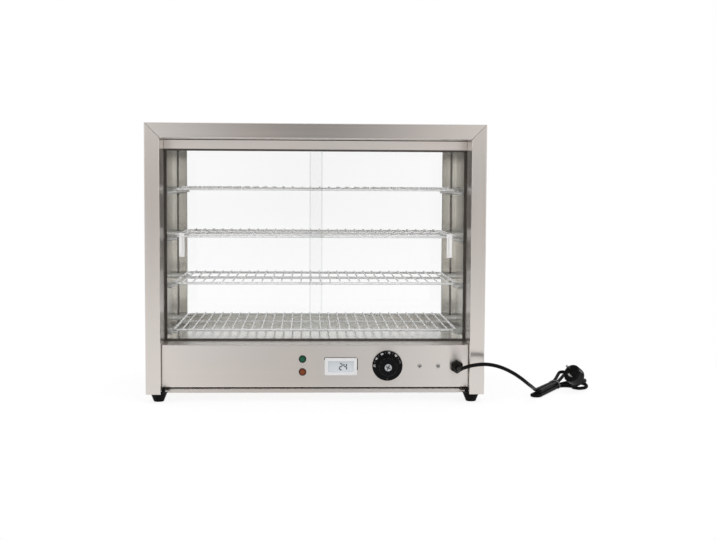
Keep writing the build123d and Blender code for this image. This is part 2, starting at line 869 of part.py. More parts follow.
def standing_loop():
    """Loop that springs up past the tie, from the far strand to the near one."""
    slope = radians(loop_slope)
    along = Vector(cos(slope), 0, sin(slope))
    lift = Vector(sin(slope), 0, 1 - cos(slope)) * loop_rise_radius
    crest = lift + along * loop_run
    far = Vector(0, hank_step, high_layer)
    near = Vector(0, -hank_step, high_layer)
    return [TangentArc(far, far + lift, tangent=onward), Line(far + lift, far + crest),
            TangentArc(far + crest, near + crest, tangent=along), Line(near + crest, near + lift),
            TangentArc(near + lift, near, tangent=-along)]


def past_elbow(along, across, z):
    """Place in the bent half of the hank, measured from the end of the elbow."""
    out = Vector(along, across + elbow_radius, z).rotate(Axis.Z, -elbow_turn)
    return out - Vector(0, elbow_radius, 0)


def round_elbow(waist, spread, z0, z1):
    corner = past_elbow(0, waist, z0)
    bent = sway(corner, past_elbow(bent_run, spread, z1), aside)
    return [TangentArc(Vector(0, waist, z0), corner, tangent=onward)] + bent


def back_round_elbow(waist, spread, z):
    corner = past_elbow(0, waist, z)
    bent = sway(past_elbow(bent_run, spread, z), corner, -aside)
    return bent + [TangentArc(corner, Vector(0, waist, z), tangent=-aside)]


def plug_lead(start):
    """Turn back over the bent half and rise to the plug."""
    back = aside.rotate(Axis.Z, -lead_turn)
    centre = start + Vector(aside.Y, -aside.X, 0) * lead_radius
    over = centre + Vector(-back.Y, back.X, 0) * lead_radius
    tilt = radians(lead_tilt)
    lifted = over + (back * sin(tilt) + Vector(0, 0, 1 - cos(tilt))) * lead_tilt_radius
    slope = back * cos(tilt) + Vector(0, 0, sin(tilt))
    return [TangentArc(start, over, tangent=aside), TangentArc(over, lifted, tangent=back),
            Line(lifted, lifted + slope * cord_diameter)]


def hank_edges():
    """Five strands through the tie: two in the upper layer, one that climbs down, two in the lower."""
    entry = strand(hank_entry_run, hank_fold, hank_step, high_layer, high_layer)
    near_high = strand(hank_run, -hank_fold, -hank_step, high_layer, high_layer)
    middle = strand(hank_run, hank_fold - hank_step, 0, high_layer, low_layer)
    near_low = strand(hank_run, -hank_fold, -hank_step, low_layer, low_layer)
    far_low = strand(hank_run, hank_fold, hank_step, low_layer, low_layer)
    middle_spread = hank_step / 2
    near_spread = middle_spread - 2 * bent_fold
    edges = [Line(entry[0] - onward * cord_diameter, entry[0])]
    edges += to_tie(entry) + standing_loop() + from_tie(near_high)
    edges.append(TangentArc(near_high[0], middle[0], tangent=-onward))
    edges += to_tie(middle) + round_elbow(0, middle_spread, low_layer, low_layer)
    edges.append(TangentArc(edges[-1] @ 1, past_elbow(bent_run, near_spread, low_layer), tangent=aside))
    edges += back_round_elbow(-hank_step, near_spread, low_layer) + from_tie(near_low)
    edges.append(TangentArc(near_low[0], far_low[0], tangent=-onward))
    edges += to_tie(far_low) + round_elbow(hank_step, lead_spread, low_layer, high_layer)
    return edges + plug_lead(edges[-1] @ 1)


hank_path = hank_place * Wire(hank_edges())
hank_start = hank_path @ 0
hank_along = hank_path % 0
plug_along = hank_path % 1
plug_down = Vector(-plug_along.Y, plug_along.X, 0).cross(plug_along)
plug_plane = Plane(origin=hank_path @ 1, x_dir=plug_down.rotate(Axis((0, 0, 0), plug_along), plug_roll),
                   z_dir=plug_along)


def stretch_points():
    """Route from the gland, over an arch and down to the hank."""
    x0 = gland_x
    y0 = panel_y - gland_nose
    z0 = gland_z
    chosen = [(0, 0, 0), (0, -21, 0), (7, -40, 7), (23, -54, 14), (46, -60, 17), (71, -58, 12),
              (96, -49, 0), (117, -37, -16), (133, -21, -31), (143, 5, -40), (149.5, 38, -46),
              (154.5, 71, -51.5)]
    points = [Vector(x0 + x, y0 + y, z0 + z) for x, y, z in chosen]
    return points + [hank_start - hank_along * 2.5 * cord_diameter, hank_start]


def stretch_radii(points):
    """Each bend as large as its shorter run allows."""
    radii = []
    for a, b, c in zip(points, points[1:], points[2:]):
        half_turn = radians((b - a).get_angle(c - b)) / 2
        radii.append(0.45 * min((b - a).length, (c - b).length) / tan(half_turn))
    return radii


def cord_stretch():
    points = stretch_points()
    radii = stretch_radii(points)
    path = FilletPolyline(*points, radius=radii)
    solid = tube(path, cord_diameter)
    section = pi * cord_diameter ** 2 / 4
    print("stretch bend radii", [round(r) for r in radii])
    ratio = solid.volume / (section * path.length)
    print("stretch length", round(path.length, 1), "volume ratio", round(ratio, 4))
    return solid


def least_gap(path, spacing):
    """Smallest clear distance between passes of one tube."""
    count = int(path.length / spacing)
    points = [path @ (i / count) for i in range(count + 1)]
    apart = int(pi * cord_diameter / spacing)
    nearest = min((p - q).length for i, p in enumerate(points) for q in points[i + apart:])
    return nearest - cord_diameter


def cord_hank():
    solid = tube(hank_path, cord_diameter)
    section = pi * cord_diameter ** 2 / 4
    ratio = solid.volume / (section * hank_path.length)
    print("hank length", round(hank_path.length, 1), "volume ratio", round(ratio, 4))
    print("hank least gap", round(least_gap(hank_path, 2.0), 2))
    return solid


def cord_tie():
    """Strap round the waist of the hank, before the elbow."""
    inner_width = 2 * hank_step + cord_diameter + 2 * tie_clearance
    inner_height = hank_layer + cord_diameter + 2 * tie_clearance
    wall = 2 * tie_thickness
    corner = cord_diameter / 3
    ring = RectangleRounded(inner_width + wall, inner_height + wall, corner + tie_thickness)
    ring -= RectangleRounded(inner_width, inner_height, corner)
    strap = Rot(0, 90, 0) * Rot(0, 0, 90) * extrude(ring, amount=tie_width)
    start = (hank_tie_run + tie_width) / 2
    return hank_place * Pos(-start, 0, hank_base_z + hank_layer / 2) * strap


def plug_body():
    """Round two-pin plug with a ribbed tail and a notched rim."""
    radius = plug_diameter / 2
    tail = plug_tail_diameter / 2
    waist = plug_tail_length + 2 * sheet
    rim = plug_length * 0.62
    outline = [(0, 0), (tail, 0)]
    rib = plug_tail_length / 8
    for i in range(4):
        z = 2 * rib * i
        outline += [(tail, z + rib), (tail - sheet, z + rib), (tail - sheet, z + 2 * rib),
                    (tail, z + 2 * rib)]
    outline += [(tail + 2 * sheet, waist), (radius - sheet, rim - 2 * sheet), (radius, rim),
                (radius, plug_length), (0, plug_length)]
    body = turned(outline)
    notch = Box(earth_strip_width + 2 * sheet, 4 * sheet, 2 * (plug_length - rim))
    for sy in (-1, 1):
        body -= Pos(0, sy * radius, plug_length) * notch
    front = body.edges().filter_by(GeomType.CIRCLE).group_by(Axis.Z)[-1]
    return plug_plane * fillet(front, radius=sheet)


def plug_pins():
    radius = pin_diameter / 2
    tip = pin_length - radius
    pin = turned([(0, 0), (radius, 0), (radius, tip), (radius / 2, pin_length), (0, pin_length)])
    return [plug_plane * Pos(s * pin_spacing / 2, 0, plug_length) * pin for s in (-1, 1)]


def plug_earth_strips():
    strip = Box(earth_strip_width, sheet, plug_length * 0.3, align=(Align.CENTER, Align.CENTER, Align.MAX))
    offset_y = plug_diameter / 2 - 1.5 * sheet
    return [plug_plane * Pos(0, s * offset_y, plug_length - sheet) * strip for s in (-1, 1)]


def mirrored(solid):
    return mirror(solid, Plane.YZ)


def case_nodes():
    nodes = {"top_panel": top_panel(), "right_side_panel": side_panel(), "right_inner_wall": inner_wall(),
             "inner_ceiling": inner_ceiling(), "floor_plate": floor_plate(), "door_header": door_header(),
             "control_panel": control_panel(), "customer_lower_panel": customer_lower_panel(),
             "base_pan": base_pan(), "customer_glass": customer_glass(), "glass_gasket": glass_gasket(),
             "glass_retainer": glass_retainer(),
             "bottom_track": bottom_track(), "top_track": top_track(), "right_door_seal": door_seal(),
             "shelf_pegs": shelf_pegs(), "heat_shield": heat_shield(), "heating_element": heating_element(),
             "element_brackets": element_brackets()}
    for part in ("side_panel", "inner_wall", "door_seal"):
        nodes["left_" + part] = mirrored(nodes["right_" + part])
    names = ("near_left_foot", "near_right_foot", "far_left_foot", "far_right_foot")
    for name, (x, y) in zip(names, foot_places()):
        nodes[name] = Pos(x, y, 0) * foot()
    nodes["foot_screws"] = [Pos(x, y, 0) * foot_screw() for x, y in foot_places()]
    return nodes


def control_nodes():
    return {"green_lamp_lens": lamp_lens(lamp_green_z), "amber_lamp_lens": lamp_lens(lamp_amber_z),
            "lamp_bodies": [lamp_body(lamp_green_z), lamp_body(lamp_amber_z)],
            "thermometer_housing": meter_housing(), "thermometer_display": meter_display(),
            "thermometer_probe": thermometer_probe(), "thermostat_body": thermostat_body(),
            "thermostat_bulb": thermostat_bulb(), "thermostat_knob": knob(), "knob_cap": knob_cap(),
            "thermostat_spindle": thermostat_spindle(), "terminal_block": terminal_block(),
            "terminal_screws": terminal_screws(), "gland_body": gland_body(), "gland_nut": gland_nut(),
            "gland_locknut": gland_locknut()}


def moving_nodes():
    nodes = {"left_door_glass": door_glass(-1), "right_door_glass": door_glass(1),
             "left_door_pull": door_pull(-1), "right_door_pull": door_pull(1)}
    shelf = wire_shelf()
    for number, height in enumerate(shelf_heights, start=1):
        nodes["wire_shelf_" + str(number)] = Pos(0, 0, height) * shelf
    return nodes


def cord_nodes():
    return {"cord_tail": cord_tail(), "cord_stretch": cord_stretch(), "cord_hank": cord_hank(),
            "cord_tie": cord_tie(), "plug_body": plug_body(), "plug_pins": plug_pins(),
            "plug_earth_strips": plug_earth_strips()}


def main():
    os.makedirs("parts", exist_ok=True)
    nodes = {**case_nodes(), **control_nodes(), **moving_nodes(), **cord_nodes()}
    for name, shape in nodes.items():
        solid = Compound(children=shape) if isinstance(shape, list) else shape
        export_step(solid, "parts/" + name + ".step")
    print(len(nodes), "nodes")


main()
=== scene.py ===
import json
import math
import bmesh
import bpy
from mathutils import Matrix, Vector


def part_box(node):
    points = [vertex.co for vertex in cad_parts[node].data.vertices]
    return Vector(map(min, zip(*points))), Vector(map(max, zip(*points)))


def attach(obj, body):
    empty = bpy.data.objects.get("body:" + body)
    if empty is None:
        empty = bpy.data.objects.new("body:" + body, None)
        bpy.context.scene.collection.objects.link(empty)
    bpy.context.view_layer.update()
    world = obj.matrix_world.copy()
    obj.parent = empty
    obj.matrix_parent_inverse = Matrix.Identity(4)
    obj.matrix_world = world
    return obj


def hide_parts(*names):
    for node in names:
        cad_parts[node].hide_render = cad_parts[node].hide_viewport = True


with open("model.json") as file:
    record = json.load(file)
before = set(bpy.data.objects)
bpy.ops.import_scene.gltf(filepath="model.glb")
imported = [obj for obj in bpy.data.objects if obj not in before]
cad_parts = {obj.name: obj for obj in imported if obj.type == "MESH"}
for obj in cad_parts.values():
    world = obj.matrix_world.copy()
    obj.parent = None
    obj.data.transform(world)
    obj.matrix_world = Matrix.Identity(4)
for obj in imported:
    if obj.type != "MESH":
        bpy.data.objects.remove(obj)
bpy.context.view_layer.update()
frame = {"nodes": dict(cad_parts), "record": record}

MM = 0.001
BLACK = (0.0, 0.0, 0.0)
WHITE = (1.0, 1.0, 1.0)
AHEAD = Vector((0.0, -1.0, 0.0))

# Camera of the photograph: pixels of its frame, millimetres of sensor, metres and degrees
IMAGE_WIDTH = 716
FOCAL_PIXELS = 1236.5
SENSOR_WIDTH = 36.0
CAMERA_AT = Vector((-0.0144, -2.55875, 0.4231))
CAMERA_YAW = 2.298
CAMERA_PITCH = 4.026
CAMERA_ROLL = -0.301

# Studio floor in metres, and the even light on matt surfaces
FLOOR_SIZE = 6.0
FLOOR_CLEAR_RADIUS = 0.65
FLOOR_FADE_RADIUS = 1.2
FLOOR_TONE = (0.92, 0.92, 0.92)
FLOOR_WHITE_SHARE = 0.86
AMBIENT = (1.05, 1.05, 1.05)

# Softboxes: place, width and height in metres, power in watts
LAMPS_AIM = Vector((0.0, 0.0, 0.27))
SOFTBOXES = {
    "top_softbox": ((0.0, -0.4, 2.4), (3.4, 2.6), 24.0),
    "left_softbox": ((-1.9, -2.1, 1.1), (1.5, 2.1), 8.0),
    "right_softbox": ((1.9, -2.1, 1.1), (1.5, 2.1), 8.0),
}

# Room that metal mirrors: near tones at the camera and aside of it, then single tones
NEAR_WALL = ((0.030, 0.025, 0.020), (1.12, 1.11, 1.10))
NEAR_STRIP = ((0.10, 0.09, 0.08), (0.58, 0.54, 0.51))
NEAR_TABLE = ((0.90, 0.88, 0.86), (1.20, 1.20, 1.19))
NEAR_CEILING = ((0.42, 0.41, 0.40), (0.92, 0.92, 0.92))
BEHIND_LAMPS = (0.22, 0.22, 0.22)
FAR_STRIP = (0.036, 0.029, 0.022)
FAR_WALL = (0.92, 0.92, 0.92)
OVERHEAD = (0.25, 0.25, 0.25)

# Bands in which two tones of the room blend, as parts of a unit direction: +Y far, X sideways, Z up
NEAR_TO_FAR = (-0.15, 0.15)
CAMERA_TO_ASIDE = (0.02, 0.14)
NEAR_TABLE_EDGE = (-0.11, -0.02)
NEAR_WALL_FOOT = (-0.02, 0.06)
NEAR_CEILING_EDGE = (0.3, 0.6)
LAMPS_SIDE = (0.34, 0.52)
LAMPS_FOOT = (0.12, 0.24)
FAR_TABLE_EDGE = (-0.112, -0.06)
FAR_WALL_FOOT = (0.045, 0.105)
OVERHEAD_EDGE = (0.6, 0.85)

# Mains cord in millimetres. The route stays close to the tubes of the solid model:
# first from the gland's nose, then through the hank in the hank's own frame
CORD_DIAMETER = 7.0
GLAND_NOSE = Vector((272.5, -215.25, 69.7))
CORD_ROUTE = [(0, 0, 0), (0, -21, 0), (7, -40, 7), (23, -54, 14), (46, -60, 17), (71, -58, 12),
              (96, -49, 0), (117, -37, -14.5), (133, -21, -28), (145.5, 5, -38), (154.5, 38, -46),
              (162.5, 71, -53.5)]
HANK_AT = Vector((497.0, -33.25, 0.0))
HANK_HEADING = 61.5
HANK_STEP = 8.0
HANK_LOW = 4.5
HANK_HIGH = 12.2
HANK_ENTRY = [(-106, 5.5, 12.3), (-70, 5.2, 12.2), (-29, 4.8, 12.2), (9, 4.2, 12.4)]
STANDING_LOOP = [(46.2, 6.6, 23.6), (53.5, 6.6, 25.8), (57.1, 0, 27), (53.5, -6.6, 25.8), (46.2, -6.6, 23.6)]
UPPER_STRAND = [(9, -4.2, 12.4), (-37, -4.8, 12.2), (-92, -5.5, 12.2), (-105, -6, 12.2)]
INNER_FOLD = [(-112.5, -6.4, 12.2), (-118.8, -6.6, 12.2), (-122, -2.3, 8.9), (-118.8, 1.4, 4.8),
              (-112.5, 1.2, 4.6)]
MIDDLE_STRAND = [(-104, 0.8, 4.5), (-92, 0.3, 4.5), (-37, 0, 4.5), (-10.8, 0, 4.5), (10.8, 0, 4.5),
                 (22, -12, 8.5), (22.5, -24, 11.8), (22.5, -34, 11.8), (23.5, -46, 11.5)]
BENT_FOLD = [(23, -60, 9.5), (9.7, -65.2, 5.5), (-4.5, -55, 4.5)]
NEAR_STRAND = [(-1.4, -43.2, 4.5), (3.5, -37.5, 4.5), (10.6, -35.4, 4.5), (15.4, -29.7, 4.5),
               (16.8, -18.8, 4.5), (7.2, -8, 4.5), (-7.2, -7.6, 4.5), (-37, -7.6, 4.5), (-92, -8, 4.5),
               (-116, -8, 4.5)]
OUTER_FOLD = [(-127.5, -8.2, 4.5), (-133, 0.3, 4.5), (-127.5, 8.6, 4.5)]
FAR_STRAND = [(-116, 8.4, 4.5), (-92, 8, 4.5), (-37, 7.6, 4.5), (-14.4, 7.6, 4.5), (14.4, 8, 4.5),
              (30.5, -8.5, 4.5), (25.5, -24, 4.5), (26, -35, 4.5)]
PLUG_LEAD = [(33, -43.5, 8), (31.5, -50.5, 16), (25, -57, 18.5), (14.3, -59.3, 15.2), (4.9, -56.8, 17.4)]
HANK_ROUTE = (HANK_ENTRY + STANDING_LOOP + UPPER_STRAND + INNER_FOLD + MIDDLE_STRAND + BENT_FOLD + NEAR_STRAND
              + OUTER_FOLD + FAR_STRAND + PLUG_LEAD)

# Tie of the hank, in millimetres: its place along the hank, the strap, and how it closes round the strands
TIE_MIDDLE = -4.5
TIE_HALF_WIDTH = 4.0
TIE_THICKNESS = 0.7
TIE_SIDE_SLACK = 0.45
TIE_TOP_SLACK = 0.2
TIE_UPPER_TAPER = 0.31
TIE_SQUARENESS = 5
TIE_GROUND_GAP = 0.15
TIE_STEPS = 56
TIE_LAP_STEPS = 9
TIE_LIFT_STEPS = 6
TIE_FIRST_ANGLE = 60.0

# Dial in millimetres and degrees: its skirt, and numbers read clockwise from nine o'clock
SKIRT_RIM_RADIUS = 29.25
SKIRT_RIM_HEIGHT = 1.8
SKIRT_INNER_RADIUS = 19.0
SKIRT_RISE = 1.6
DIAL_NUMBERS = ["30", "45", "60", "75", "90", "105"]
DIAL_FIRST_ANGLE = 180.0
DIAL_NUMBER_STEP = 32.3
DIAL_NUMBER_RADIUS = 25.2
DIAL_NUMBER_HEIGHT = 5.2
DIAL_TICK_RADIUS = 26.0
DIAL_INDEX_ANGLE = 270.0

# Reading shown on the thermometer, and the lit bars of its seven-bar figures
READING = "24"
FIGURE_BARS = {"2": "abged", "4": "fgbc"}

TURN_STEPS = 48


# Small helpers for node trees

def add_node(tree, kind, **settings):
    node = tree.nodes.new(kind)
    for key, value in settings.items():
        setattr(node, key, value)
    return node


def wire(tree, out, into):
    tree.links.new(out, into)


def math_node(tree, operation, *values):
    """Math node whose inputs are sockets or plain numbers."""
    node = add_node(tree, "ShaderNodeMath", operation=operation)
    for socket, value in zip(node.inputs, values):
        if isinstance(value, (int, float)):
            socket.default_value = value
        else:
            wire(tree, value, socket)
    return node.outputs[0]


def mix_colours(tree, factor, first, second, blend="MIX"):
    """Colour mix whose inputs are sockets or plain colours."""
    node = add_node(tree, "ShaderNodeMix", data_type="RGBA", blend_type=blend)
    for socket, value in ((node.inputs[0], factor), (node.inputs[6], first), (node.inputs[7], second)):
        if isinstance(value, (int, float)):
            socket.default_value = value
        elif isinstance(value, tuple):
            socket.default_value = (*value, 1.0)
        else:
            wire(tree, value, socket)
    return node.outputs[2]


def mix_shaders(tree, factor, first, second):
    """Shader mix that goes from the first node to the second as the factor rises."""
    node = add_node(tree, "ShaderNodeMixShader")
    for socket, out in zip(node.inputs, (factor, first.outputs[0], second.outputs[0])):
        wire(tree, out, socket)
    return node


def spread(tree, value, low, high, to_low=0.0, to_high=1.0):
    """Map Range that holds its ends."""
    node = add_node(tree, "ShaderNodeMapRange", clamp=True)
    wire(tree, value, node.inputs["Value"])
    for name, number in (("From Min", low), ("From Max", high), ("To Min", to_low), ("To Max", to_high)):
        node.inputs[name].default_value = number
    return node.outputs["Result"]


def split(tree, vector):
    """X, Y and Z of a vector, by name."""
    node = add_node(tree, "ShaderNodeSeparateXYZ")
    wire(tree, vector, node.inputs[0])
    return node.outputs


def noise(tree, vector, scale, detail, roughness):
    node = add_node(tree, "ShaderNodeTexNoise")
    wire(tree, vector, node.inputs["Vector"])
    node.inputs["Scale"].default_value = scale
    node.inputs["Detail"].default_value = detail
    node.inputs["Roughness"].default_value = roughness
    return node.outputs["Fac"]


def coordinate(tree, kind):
    return add_node(tree, "ShaderNodeTexCoord").outputs[kind]


def new_group(name, inputs, outputs):
    """Empty shader group with named sockets, given as (name, kind, default)."""
    tree = bpy.data.node_groups.new(name, "ShaderNodeTree")
    for socket_name, kind, default in inputs:
        socket = tree.interface.new_socket(socket_name, in_out="INPUT", socket_type=kind)
        socket.default_value = default
    for socket_name, kind in outputs:
        tree.interface.new_socket(socket_name, in_out="OUTPUT", socket_type=kind)
    return tree, add_node(tree, "NodeGroupInput"), add_node(tree, "NodeGroupOutput")


# Surface effects that several finishes share

def brushed_grain_group():
    """Fine lines of a brushing belt, drawn out by Stretch, with slow changes of tone."""
    tree, given, made = new_group(
        "Brushed grain",
        [("Stretch", "NodeSocketVector", (1.0, 1.0, 1.0)), ("Tone", "NodeSocketColor", (0.6, 0.6, 0.6, 1.0)),
         ("Tone Spread", "NodeSocketFloat", 0.1), ("Roughness", "NodeSocketFloat", 0.3),
         ("Roughness Spread", "NodeSocketFloat", 0.1)],
        [("Color", "NodeSocketColor"), ("Roughness", "NodeSocketFloat"), ("Height", "NodeSocketFloat")])
    warm, cool = (1.0, 0.985, 0.965), (0.975, 0.99, 0.985)
    slow_band = (0.35, 0.65)
    fine_share, broad_share = 0.6, 0.4
    place = coordinate(tree, "Object")
    drawn = add_node(tree, "ShaderNodeVectorMath", operation="MULTIPLY")
    wire(tree, place, drawn.inputs[0])
    wire(tree, given.outputs["Stretch"], drawn.inputs[1])
    fine = noise(tree, drawn.outputs[0], scale=1.0, detail=4.0, roughness=0.62)
    broad = noise(tree, drawn.outputs[0], scale=0.16, detail=2.0, roughness=0.5)
    slow = noise(tree, place, scale=7.0, detail=2.0, roughness=0.5)
    lines = math_node(tree, "MULTIPLY_ADD", fine, fine_share, math_node(tree, "MULTIPLY", broad, broad_share))
    centred = math_node(tree, "SUBTRACT", lines, 0.5)
    gain = math_node(tree, "MULTIPLY_ADD", centred, given.outputs["Tone Spread"], 1.0)
    warmth = mix_colours(tree, spread(tree, slow, *slow_band), warm, cool)
    toned = mix_colours(tree, 1.0, given.outputs["Tone"], warmth, "MULTIPLY")
    bright = add_node(tree, "ShaderNodeVectorMath", operation="SCALE")
    wire(tree, toned, bright.inputs[0])
    wire(tree, gain, bright.inputs["Scale"])
    wire(tree, bright.outputs[0], made.inputs["Color"])
    rough = math_node(tree, "MULTIPLY_ADD", centred, given.outputs["Roughness Spread"],
                      given.outputs["Roughness"])
    wire(tree, rough, made.inputs["Roughness"])
    wire(tree, fine, made.inputs["Height"])
    return tree


def folded_edge_group():
    """Mask of the folded and cut edges, along which the finishes paint a highlight, on mouldings together
    with wear, and a rounded normal.
    """
    tree, given, made = new_group(
        "Folded edge", [("Radius", "NodeSocketFloat", 0.001)],
        [("Mask", "NodeSocketFloat"), ("Normal", "NodeSocketVector")])
    bent_band = (0.75, 0.995)
    bevel = add_node(tree, "ShaderNodeBevel", samples=4)
    wire(tree, given.outputs["Radius"], bevel.inputs["Radius"])
    flat = add_node(tree, "ShaderNodeNewGeometry").outputs["Normal"]
    dot = add_node(tree, "ShaderNodeVectorMath", operation="DOT_PRODUCT")
    wire(tree, bevel.outputs["Normal"], dot.inputs[0])
    wire(tree, flat, dot.inputs[1])
    wire(tree, spread(tree, dot.outputs["Value"], *bent_band, 1.0, 0.0), made.inputs["Mask"])
    wire(tree, bevel.outputs["Normal"], made.inputs["Normal"])
    return tree


def moulded_skin_group():
    """Fine skin of a moulding, with faint cloudy patches and specks of dust."""
    tree, given, made = new_group(
        "Moulded skin",
        [("Tone", "NodeSocketColor", (0.1, 0.1, 0.1, 1.0)), ("Dust", "NodeSocketFloat", 0.05),
         ("Grain Size", "NodeSocketFloat", 0.0008), ("Roughness", "NodeSocketFloat", 0.4),
         ("Roughness Spread", "NodeSocketFloat", 0.12)],
        [("Color", "NodeSocketColor"), ("Roughness", "NodeSocketFloat"), ("Height", "NodeSocketFloat")])
    dust_tone = (0.55, 0.53, 0.5)
    speck_band = (0.62, 0.78)
    speck_share = 0.7
    place = coordinate(tree, "Object")
    scaled = add_node(tree, "ShaderNodeVectorMath", operation="SCALE")
    wire(tree, place, scaled.inputs[0])
    wire(tree, math_node(tree, "DIVIDE", 1.0, given.outputs["Grain Size"]), scaled.inputs["Scale"])
    grain = noise(tree, scaled.outputs[0], scale=1.0, detail=2.0, roughness=0.6)
    cloud = noise(tree, place, scale=34.0, detail=3.0, roughness=0.6)
    specks = spread(tree, noise(tree, place, scale=420.0, detail=2.0, roughness=0.7), *speck_band)
    settled = math_node(tree, "MULTIPLY_ADD", specks, speck_share, cloud)
    dusty = math_node(tree, "MULTIPLY", settled, given.outputs["Dust"])
    wire(tree, mix_colours(tree, dusty, given.outputs["Tone"], dust_tone), made.inputs["Color"])
    uneven = math_node(tree, "SUBTRACT", cloud, 0.5)
    rough = math_node(tree, "MULTIPLY_ADD", uneven, given.outputs["Roughness Spread"],
                      given.outputs["Roughness"])
    wire(tree, rough, made.inputs["Roughness"])
    wire(tree, grain, made.inputs["Height"])
    return tree


def wiped_glass_group():
    """Green of a cut glass edge and the faint streaks that a cloth leaves on the faces."""
    tree, given, made = new_group(
        "Wiped glass",
        [("Face Tone", "NodeSocketColor", (0.97, 0.99, 0.98, 1.0)),
         ("Edge Tone", "NodeSocketColor", (0.4, 0.65, 0.55, 1.0)), ("Streak", "NodeSocketFloat", 0.03)],
        [("Color", "NodeSocketColor"), ("Roughness", "NodeSocketFloat")])
    face_limit = 0.7
    wipe_stretch = (9.0, 1.0, 3.0)
    streak_band = (0.5, 0.8)
    facing = split(tree, coordinate(tree, "Normal"))
    on_edge = math_node(tree, "LESS_THAN", math_node(tree, "ABSOLUTE", facing["Y"]), face_limit)
    tone = mix_colours(tree, on_edge, given.outputs["Face Tone"], given.outputs["Edge Tone"])
    wire(tree, tone, made.inputs["Color"])
    wipe = add_node(tree, "ShaderNodeVectorMath", operation="MULTIPLY")
    wipe.inputs[1].default_value = wipe_stretch
    wire(tree, coordinate(tree, "Object"), wipe.inputs[0])
    streaks = spread(tree, noise(tree, wipe.outputs[0], scale=3.0, detail=4.0, roughness=0.6), *streak_band)
    wire(tree, math_node(tree, "MULTIPLY", streaks, given.outputs["Streak"]), made.inputs["Roughness"])
    return tree


BRUSHED_GRAIN = brushed_grain_group()
FOLDED_EDGE = folded_edge_group()
MOULDED_SKIN = moulded_skin_group()
WIPED_GLASS = wiped_glass_group()


# Finishes; grain sizes and depths are in millimetres

def new_finish(name):
    """Material with one Principled shader, returned with its tree."""
    material = bpy.data.materials.new(name)
    material.use_nodes = True
    tree = material.node_tree
    return material, tree, tree.nodes["Principled BSDF"]


def place_group(tree, group, **values):
    """Group node with values for its named inputs."""
    node = add_node(tree, "ShaderNodeGroup", node_tree=group)
    for key, value in values.items():
        socket = node.inputs[key.replace("_", " ").title()]
        socket.default_value = (*value, 1.0) if socket.type == "RGBA" else value
    return node


def paint(tree, shader, colour, roughness):
    wire(tree, colour, shader.inputs["Base Color"])
    wire(tree, roughness, shader.inputs["Roughness"])


def bump(tree, shader, height, depth, strength, normal=None):
    node = add_node(tree, "ShaderNodeBump")
    node.inputs["Distance"].default_value = depth * MM
    node.inputs["Strength"].default_value = strength
    wire(tree, height, node.inputs["Height"])
    if normal is not None:
        wire(tree, normal, node.inputs["Normal"])
    wire(tree, node.outputs["Normal"], shader.inputs["Normal"])


def brushed_steel(name, along, tone, roughness, tone_spread=0.08, anisotropic=0.9):
    """Brushed sheet whose grain runs along X or Z of the case."""
    grain_long, grain_fine = 5.0, 750.0
    fold_highlight_tone = (0.86, 0.84, 0.82)
    fold_highlight_share = 0.35
    fold_radius = 0.9
    quarter_turn = 0.25
    lean = 0.02
    material, tree, shader = new_finish(name)
    stretch = [grain_long if axis == along else grain_fine for axis in "XYZ"]
    grain = place_group(tree, BRUSHED_GRAIN, stretch=stretch, tone=tone, tone_spread=tone_spread,
                        roughness=roughness, roughness_spread=0.07)
    edge = place_group(tree, FOLDED_EDGE, radius=fold_radius * MM)
    # Painted highlight: the folded edges are mixed towards a light tone.
    fold_highlight = math_node(tree, "MULTIPLY", edge.outputs["Mask"], fold_highlight_share)
    colour = mix_colours(tree, fold_highlight, grain.outputs["Color"], fold_highlight_tone)
    paint(tree, shader, colour, grain.outputs["Roughness"])
    shader.inputs["Metallic"].default_value = 1.0
    shader.inputs["Anisotropic"].default_value = anisotropic
    shader.inputs["Anisotropic Rotation"].default_value = quarter_turn
    lie = add_node(tree, "ShaderNodeCombineXYZ")
    for axis, socket in zip("XYZ", lie.inputs):
        socket.default_value = 1.0 if axis == along else lean
    carried = add_node(tree, "ShaderNodeVectorTransform", vector_type="VECTOR", convert_from="OBJECT",
                       convert_to="WORLD")
    wire(tree, lie.outputs[0], carried.inputs[0])
    wire(tree, carried.outputs[0], shader.inputs["Tangent"])
    bump(tree, shader, grain.outputs["Height"], depth=0.02, strength=0.5, normal=edge.outputs["Normal"])
    return material


def bright_metal(name, tone, roughness, grain_size=1.0, metallic=1.0):
    """Plated or polished metal with faint waves and cloudy patches; a dull plating is less metallic."""
    material, tree, shader = new_finish(name)
    skin = place_group(tree, MOULDED_SKIN, tone=tone, dust=0.03, grain_size=grain_size * MM,
                       roughness=roughness, roughness_spread=0.12)
    paint(tree, shader, skin.outputs["Color"], skin.outputs["Roughness"])
    shader.inputs["Metallic"].default_value = metallic
    bump(tree, shader, skin.outputs["Height"], depth=0.03, strength=0.4)
    return material


def moulding(name, tone, roughness, grain_size=0.6, dust=0.02, depth=0.03, shine=0.5, edge_wear_and_highlight=None):
    """Plastic or rubber moulding; shine is how strongly it mirrors, and the last argument is the tone of its
    rubbed edges, partly real wear and partly a painted highlight.
    """
    edge_radius = 0.5
    edge_wear_and_highlight_share = 0.6
    material, tree, shader = new_finish(name)
    skin = place_group(tree, MOULDED_SKIN, tone=tone, dust=dust, grain_size=grain_size * MM,
                       roughness=roughness, roughness_spread=0.15)
    edge = place_group(tree, FOLDED_EDGE, radius=edge_radius * MM)
    colour = skin.outputs["Color"]
    if edge_wear_and_highlight is not None:
        # Rubbed edges: partly real wear, partly a painted highlight along the edges.
        on_edge = math_node(tree, "MULTIPLY", edge.outputs["Mask"], edge_wear_and_highlight_share)
        colour = mix_colours(tree, on_edge, colour, edge_wear_and_highlight)
    paint(tree, shader, colour, skin.outputs["Roughness"])
    shader.inputs["Specular IOR Level"].default_value = shine
    bump(tree, shader, skin.outputs["Height"], depth, strength=0.6, normal=edge.outputs["Normal"])
    return material


